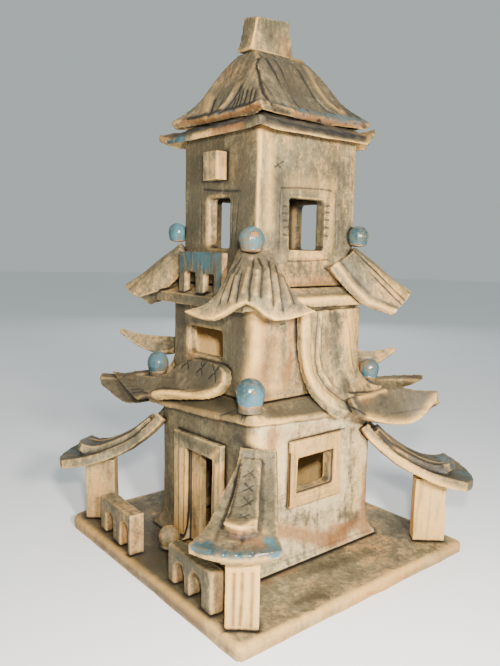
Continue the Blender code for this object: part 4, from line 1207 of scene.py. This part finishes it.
class PAGODA_OT_plate(bpy.types.Operator):
    """The square plate that the tower stands on"""

    bl_idname = "pagoda.plate"
    bl_label = "Plate"

    def execute(self, context):
        slab = clay("plate", 1.6, PLATE_MARKS, nodes=["base_plate"]).face(TOP, wash=0.4)
        for way in (RIGHT, LEFT, BACK, FRONT):
            slab.face(way, flash=0.42)
        slab.finish()
        return {"FINISHED"}


class PAGODA_OT_ground(bpy.types.Operator):
    """The ground storey with its window frames, door frame and door"""

    bl_idname = "pagoda.ground"
    bl_label = "Ground storey"

    def execute(self, context):
        marks = GROUND_SIDE_MARKS + GROUND_FRONT_MARKS + opposite(GROUND_SIDE_MARKS, GROUND_MIDDLE)
        slab = clay("ground_storey", 1.1, marks, nodes=piece_names("ground_wall"), grow=JOIN)
        slab.tint(slab.facing(RIGHT) + slab.facing(LEFT), wash=-0.36, chalk=0.8).shade()
        inside = indoors(slab, *GROUND_ROOM)
        # Painted light on the inside faces that face the front
        paint_room_light(slab, inside * slab.facing(FRONT, 0.3, 0.6))
        # Painted shade on the inside faces that face right
        slab.tint(inside * slab.facing(RIGHT, 0.3, 0.6), wash=1.2).finish()
        for name, marks in both_sides(GROUND_MIDDLE, window_frame_right=WINDOW_MARKS).items():
            slab = clay(name, 0.6, marks).tint(1.0, wash=-0.2, pale=0.35)
            slab.comb(1.0, (0.1, 0.1, 1.0), 1.6, 0.12, 0.2, 18.0).finish()
        slab = clay("door_frame", 0.65, DOOR_MARKS)
        # The jambs are paler and warmer below the lintel: partly bare clay, partly painted light
        jambs = 1.0 - smooth_step(*JAMBS_BARE_AND_LIT, slab.points[:, 2])
        slab.tint(jambs, wash=-0.25, pale=0.25, flash=0.1).finish()
        # The leaf is narrowed, so that a gap shows on its right
        slab = clay("door_leaf", 0.7, LEAF_MARKS)
        slab.shift[:, 0] -= (slab.points[:, 0] - slab.points[:, 0].min()) * 0.4
        slab.tint(1.0, wash=-0.15, pale=0.15, flash=0.12).finish()
        clay("door_bead", 0.5, slot="blue_glaze").tint(1.0, glaze=0.1, wash=0.25).finish(rub=0.0)
        return {"FINISHED"}


class PAGODA_OT_skirt(bpy.types.Operator):
    """The skirt roof over the ground storey"""

    bl_idname = "pagoda.skirt"
    bl_label = "Skirt roof"

    def execute(self, context):
        clay("skirt_roof", 1.0, SKIRT_MARKS).face(TOP, wash=1.3).shade().finish()
        return {"FINISHED"}


class PAGODA_OT_middle(bpy.types.Operator):
    """The middle storey with its swept slabs, curtains and wings"""

    bl_idname = "pagoda.middle"
    bl_label = "Middle storey"

    def execute(self, context):
        marks = MIDDLE_MARKS + opposite(MIDDLE_MARKS)
        slab = clay("middle_storey", 1.15, marks, nodes=piece_names("middle_wall"), grow=JOIN)
        slab.tint(1.0, wash=0.24).face(RIGHT, flash=0.2).shade()
        # Painted light on all the inside faces
        paint_room_light(slab, indoors(slab, *MIDDLE_ROOM)).finish()
        hanging = both_sides(swoop_front=SWOOP_MARKS, wing_right=WING_MARKS)
        hanging.update(high_wing_left=(), high_wing_back=(), **both_sides(curtain_right=CURTAIN_MARKS))
        for name, marks in hanging.items():
            slot, wash, way = HANGING[name.split("_")[0]]
            slab = clay(name, 0.85, marks, slot).comb(1.0, way, 1.9, 0.25, 0.3, 30.0)
            slab.tint(1.0, wash=wash).finish()
        return {"FINISHED"}


class PAGODA_OT_beads(bpy.types.Operator):
    """Rolled beads with blue glaze"""

    bl_idname = "pagoda.beads"
    bl_label = "Beads"

    def execute(self, context):
        for name in piece_names("bead_"):
            marks = BEAD_MARKS.get(name, [])
            slab = clay(name, 0.55, marks, "blue_glaze").tint(1.0, glaze=1.0, wash=0.45)
            over = sag(slab)
            slab.tint(1.0 - smooth_step(-0.6, 1.2, over), glaze=-1.2)
            slab.tint(np.exp(-((over / 1.2) ** 2)), flash=0.9)
            slab.tint(1.0 - smooth_step(-1.5, 0.0, over), wash=0.7)
            slab.tint(1.0 - smooth_step(-2.0, -0.5, over), cut=0.12)
            for mark in marks:
                slab.stain(mark.laid, "flash", mark.values["width"] * 1.3, 2.4, 0.3)
            slab.finish(rub=0.0)
        return {"FINISHED"}


def sag(slab):
    """A soft ball that sat down stays wide below its middle. Gives how high each point is over its foot."""
    low, high = slab.points.min(0), slab.points.max(0)
    centre = (low + high)[:2] / 2.0
    radius = (high - low)[0] / 2.0
    middle = high[2] - radius
    off = slab.points[:, :2] - centre
    level = 0.6
    levels = np.round((slab.points[:, 2] - low[2]) / level).astype(int)
    widest = np.zeros(levels.max() + 1)
    np.maximum.at(widest, levels, np.linalg.norm(off, axis=1))
    drop = np.clip((middle - slab.points[:, 2]) / radius, 0.0, 1.5)
    wanted = radius * (1.0 - BEAD_DRAWN * drop**2)
    grown = np.where(drop > 0.0, np.clip(wanted / np.maximum(widest[levels], 1.0), 1.0, 1.5), 1.0)
    slab.shift[:, :2] += off * (grown - 1.0)[:, None]
    foot = middle - BEAD_FOOT * radius
    return slab.points[:, 2] - foot + 0.7 * grain(slab.points, 3.0, 31)


class PAGODA_OT_ledge(bpy.types.Operator):
    """The ledge round the upper storey and the balcony panel"""

    bl_idname = "pagoda.ledge"
    bl_label = "Ledge and balcony"

    def execute(self, context):
        clay("ledge", 0.95, LEDGE_MARKS + opposite(LEDGE_MARKS)).face(TOP, wash=0.2).shade().finish()
        low, high = (corner / MM for corner in BOXES["balcony_panel"])
        # A dark outline round the front of the panel: partly the joint, partly painted shadow along its
        # edges
        rim = [low, (low.x, low.y, high.z), (high.x, low.y, high.z), (high.x, low.y, low.z)]
        slab = clay("balcony_panel", 0.6, [iron_on(rim, 1.0, 0.8, 0.4)], "blue_glaze")
        slab.face(FRONT, glaze=0.85).face(TOP, glaze=0.6)
        # The glaze runs down in drips, and streaks of clay show through it
        wave = 5.0 * grain(slab.points, (3.0, 50.0, 14.0), 21)
        drips = smooth_step(*GLAZE_RUNS, slab.points[:, 2] + wave)
        streaks = smooth_step(0.15, 0.7, grain(slab.points, (1.6, 50.0, 16.0), 22))
        slab.tint(1.0 - drips, glaze=-0.55).tint(streaks, glaze=-0.45)
        slab.face(RIGHT, flash=0.6).face(FRONT, wash=1.2).finish()
        return {"FINISHED"}


class PAGODA_OT_upper(bpy.types.Operator):
    """The upper storey with its box, hoods and fans"""

    bl_idname = "pagoda.upper"
    bl_label = "Upper storey"

    def execute(self, context):
        marks = UPPER_MARKS + opposite(UPPER_MARKS, UPPER_MIDDLE)
        slab = clay("upper_storey", 1.0, marks, nodes=piece_names("upper_wall"), grow=JOIN)
        # Painted shade on the front and back, and on the inside faces
        slab.tint(1.0, wash=0.42).shade().tint(indoors(slab, *UPPER_ROOM), wash=0.5).finish()
        clay("wall_box_front", 0.6, BOX_MARKS).face(FRONT, wash=0.4).finish()
        for name, marks in both_sides(fan_front=FAN_MARKS).items():
            clay(name, 0.8, marks).tint(1.0, wash=0.6).finish()
        for (name, marks), way in zip(both_sides(hood_right=HOOD_MARKS).items(), (1, -1)):
            slab = clay(name, 0.8, marks)
            top = slab.facing((0.5 * way, 0.5 * way, 0.7), 0.2, 0.6)
            slab.comb(top, (way, way, -1.3), 1.9, 0.5, 0.6, 40.0).tint(1.0, wash=0.65).finish()
        return {"FINISHED"}


class PAGODA_OT_roof(bpy.types.Operator):
    """The eaves, the roof slabs and the block on top"""

    bl_idname = "pagoda.roof"
    bl_label = "Roof"

    def execute(self, context):
        marks = EAVES_SIDE_MARKS + EAVES_FRONT_MARKS + opposite(EAVES_SIDE_MARKS)
        # Painted shade on the faces that look up, under the roof slabs
        slab = clay("eaves", 0.85, marks).face(TOP, 0.1, 0.5, wash=1.2)
        # Painted shadow under the roof lip: the right and left sides are dark and rough, down to a wavy line
        # over their foot
        wave = 1.3 * grain(slab.points, (6.0, 6.0, 40.0), 33)
        high = smooth_step(*EAVES_DARK, slab.points[:, 2] + wave)
        rough = 0.45 * (0.5 + grain(slab.points, (4.5, 4.5, 1.6), 34))
        for way in (1, -1):
            side = slab.facing((way, 0, 0.5), 0.1, 0.4) * high
            slab.tint(side, wash=1.4, cut=rough)
            slab.move += 0.5 * side * grain(slab.points, (5.0, 5.0, 1.6), 35)
        slab.finish(rub=0.4)
        marks = ROOF_MARKS + opposite(ROOF_MARKS)
        slab = clay("roof", 0.95, marks, "dark_stoneware", piece_names("roof_slab"), JOIN)
        for way in (1, -1):
            side = slab.facing((way, 0, 0.3), 0.3, 0.7)
            slab.comb(side, (0.58 * way, 0.12 * way, -0.8), 1.8, 0.5, 0.6, 40.0).tint(side, wash=0.8)
            slab.comb(slab.facing((0, way, 0.3), 0.3, 0.7), (0.1, 0.55 * way, -0.8), 2.2, 0.3, 0.3, 40.0)
        # The slabs flare out over the corners of the eaves
        flat = np.abs(slab.points[:, :2])
        corner = smooth_step(0.6, 1.0, flat.min(1) / flat.max(1))
        corner = (corner * (1.0 - smooth_step(*FLARE_FADES, slab.points[:, 2])))[:, None]
        corner[(slab.points[:, 0] > 0) & (slab.points[:, 1] < 0)] *= 0.25
        slab.shift += corner * np.concatenate([np.sign(slab.points[:, :2]) * FLARE, -corner], axis=1)
        slab.tint(1.0, wash=0.12).finish()
        clay("finial", 0.85, FINIAL_MARKS + opposite(FINIAL_MARKS)).tint(1.0, wash=0.4).finish()
        return {"FINISHED"}


class PAGODA_OT_yard(bpy.types.Operator):
    """The four porches, their posts and the two fences"""

    bl_idname = "pagoda.yard"
    bl_label = "Porches and fences"

    def execute(self, context):
        roofs = both_sides(porch_roof_front=PORCH_FRONT_MARKS, porch_roof_right=PORCH_SIDE_MARKS)
        for name in piece_names("porch_roof"):
            slab = clay(name, 0.85, roofs[name], "dark_stoneware")
            x, y = slab.points[:, :2].mean(0)
            slab.comb(slab.facing(TOP, 0.2, 0.6), (x, y, -0.6 * abs(x)), 1.9, 0.25, 0.35, 30.0)
            slab.face(TOP, 0.3, 0.8, wash=0.5 if "front" in name or "back" in name else 0.7).finish()
        posts = both_sides(porch_post_front=POST_FRONT_MARKS)
        for name in piece_names("porch_post"):
            slab = clay(name, 0.8, posts.get(name, []))
            slab.comb(1.0, (0.0, 0.05, 1.0), 1.6, 0.15, 0.25, 25.0).tint(1.0, wash=-0.7, pale=0.9)
            if "left" in name:
                slab.tint(1.0, flash=0.35, pale=-0.8, wash=0.5)
            slab.finish()
        for name in piece_names("fence"):
            slab = clay(name, 0.8).face(FRONT, wash=0.75).face(TOP, wash=0.45)
            slab.face(RIGHT, flash=0.35).finish()
        return {"FINISHED"}


def indoors(slab, half, front, back):
    """1 on the faces inside a storey, whose room reaches to these places."""
    inside = 1.0 - smooth_step(half + 0.3, half + 1.2, np.abs(slab.points[:, 0]))
    inside *= 1.0 - smooth_step(0.3, 1.2, slab.points[:, 1] - back)
    return inside * (1.0 - smooth_step(0.3, 1.2, front - slab.points[:, 1]))


def paint_room_light(slab, inside):
    """Painted light indoors: the inside faces are made bare of wash, pale and warm, as if lit through the
    openings.
    """
    return slab.tint(inside, wash=-1.6, flash=0.1, pale=1.4, chalk=0.8)


class PAGODA_OT_stage(bpy.types.Operator):
    """The floor, the soft lights and the camera"""

    bl_idname = "pagoda.stage"
    bl_label = "Stage"

    def execute(self, context):
        look = context.scene.pagoda_stage
        bm = bmesh.new()
        bmesh.ops.create_circle(bm, cap_ends=True, segments=96, radius=FLOOR_RADIUS)
        mesh = bpy.data.meshes.new("floor")
        bm.to_mesh(mesh)
        bm.free()
        floor = bpy.data.objects.new("floor", mesh)
        context.scene.collection.objects.link(floor)
        sh = Shader("floor")
        place = sh.node("ShaderNodeTexCoord")[3]
        cloud = sh.noise(place, 6.0, 2.0)
        tone = sh.mix(cloud, look.floor, tuple(c * 1.06 for c in look.floor))
        sh.surface(Base_Color=tone, Roughness=0.9)
        mesh.materials.append(sh.material)

        camera = bpy.data.cameras.new("camera")
        camera.lens = CAMERA_LENS
        camera.sensor_width = CAMERA_SENSOR
        view = bpy.data.objects.new("camera", camera)
        context.scene.collection.objects.link(view)
        right, up, ahead = Vector(CAMERA_RIGHT), Vector(CAMERA_UP), Vector(CAMERA_AHEAD)
        spot = Vector(CAMERA_PLACE) * MM
        turn = Matrix((right, up, -ahead)).transposed()
        view.matrix_world = Matrix.Translation(spot) @ turn.to_4x4()
        context.scene.camera = view

        soft_light("key", spot + right * 0.14 + up * 0.045, 0.06, look.key * 0.66, (1.0, 0.95, 0.86))
        soft_light("near", spot + right * 0.02 + up * 0.05, 0.03, look.key * 0.40, (1.0, 0.93, 0.84))
        soft_light("top", Vector((-0.15, 0.2, 1.1)), 0.9, look.key * 0.25, (0.93, 0.97, 1.0))
        soft_light("back", Vector((-0.9, 0.8, 0.5)), 0.8, look.key * 0.3, (0.95, 0.97, 1.0))
        world = bpy.data.worlds.new("world")
        context.scene.world = world
        world.use_nodes = True
        back = world.node_tree.nodes["Background"]
        back.inputs[0].default_value = (0.82, 0.92, 0.91, 1.0)
        back.inputs[1].default_value = look.fill
        return {"FINISHED"}


def soft_light(name, place, size, power, colour):
    """A round light that faces the middle of the tower."""
    light = bpy.data.lights.new(name, "AREA")
    light.shape = "DISK"
    light.size = size
    light.energy = power
    light.color = colour
    obj = bpy.data.objects.new(name, light)
    bpy.context.scene.collection.objects.link(obj)
    obj.location = place
    obj.rotation_euler = (Vector(AIM) - place).to_track_quat("-Z", "Y").to_euler()


# Panel and registration

PIECES = (
    PAGODA_OT_plate,
    PAGODA_OT_ground,
    PAGODA_OT_skirt,
    PAGODA_OT_middle,
    PAGODA_OT_beads,
    PAGODA_OT_ledge,
    PAGODA_OT_upper,
    PAGODA_OT_roof,
    PAGODA_OT_yard,
    PAGODA_OT_stage,
)


class PAGODA_PT_panel(bpy.types.Panel):
    """Lists the pieces and their settings"""

    bl_label = "Pagoda"
    bl_idname = "PAGODA_PT_panel"
    bl_space_type = "VIEW_3D"
    bl_region_type = "UI"
    bl_category = "Pagoda"

    def draw(self, context):
        for group in (context.scene.pagoda_clay, context.scene.pagoda_hand, context.scene.pagoda_stage):
            box = self.layout.box()
            for name in group.bl_rna.properties.keys():
                if name not in ("rna_type", "name"):
                    box.prop(group, name)
        for piece in PIECES:
            self.layout.operator(piece.bl_idname)


CLASSES = (ClaySettings, HandSettings, StageSettings, *PIECES, PAGODA_PT_panel)


def register():
    for cls in CLASSES:
        bpy.utils.register_class(cls)
    bpy.types.Scene.pagoda_clay = PointerProperty(type=ClaySettings)
    bpy.types.Scene.pagoda_hand = PointerProperty(type=HandSettings)
    bpy.types.Scene.pagoda_stage = PointerProperty(type=StageSettings)


def unregister():
    del bpy.types.Scene.pagoda_stage
    del bpy.types.Scene.pagoda_hand
    del bpy.types.Scene.pagoda_clay
    for cls in reversed(CLASSES):
        bpy.utils.unregister_class(cls)


def main():
    register()
    for piece in PIECES:
        group, name = piece.bl_idname.split(".")
        getattr(getattr(bpy.ops, group), name)()


if __name__ == "__main__":
    main()
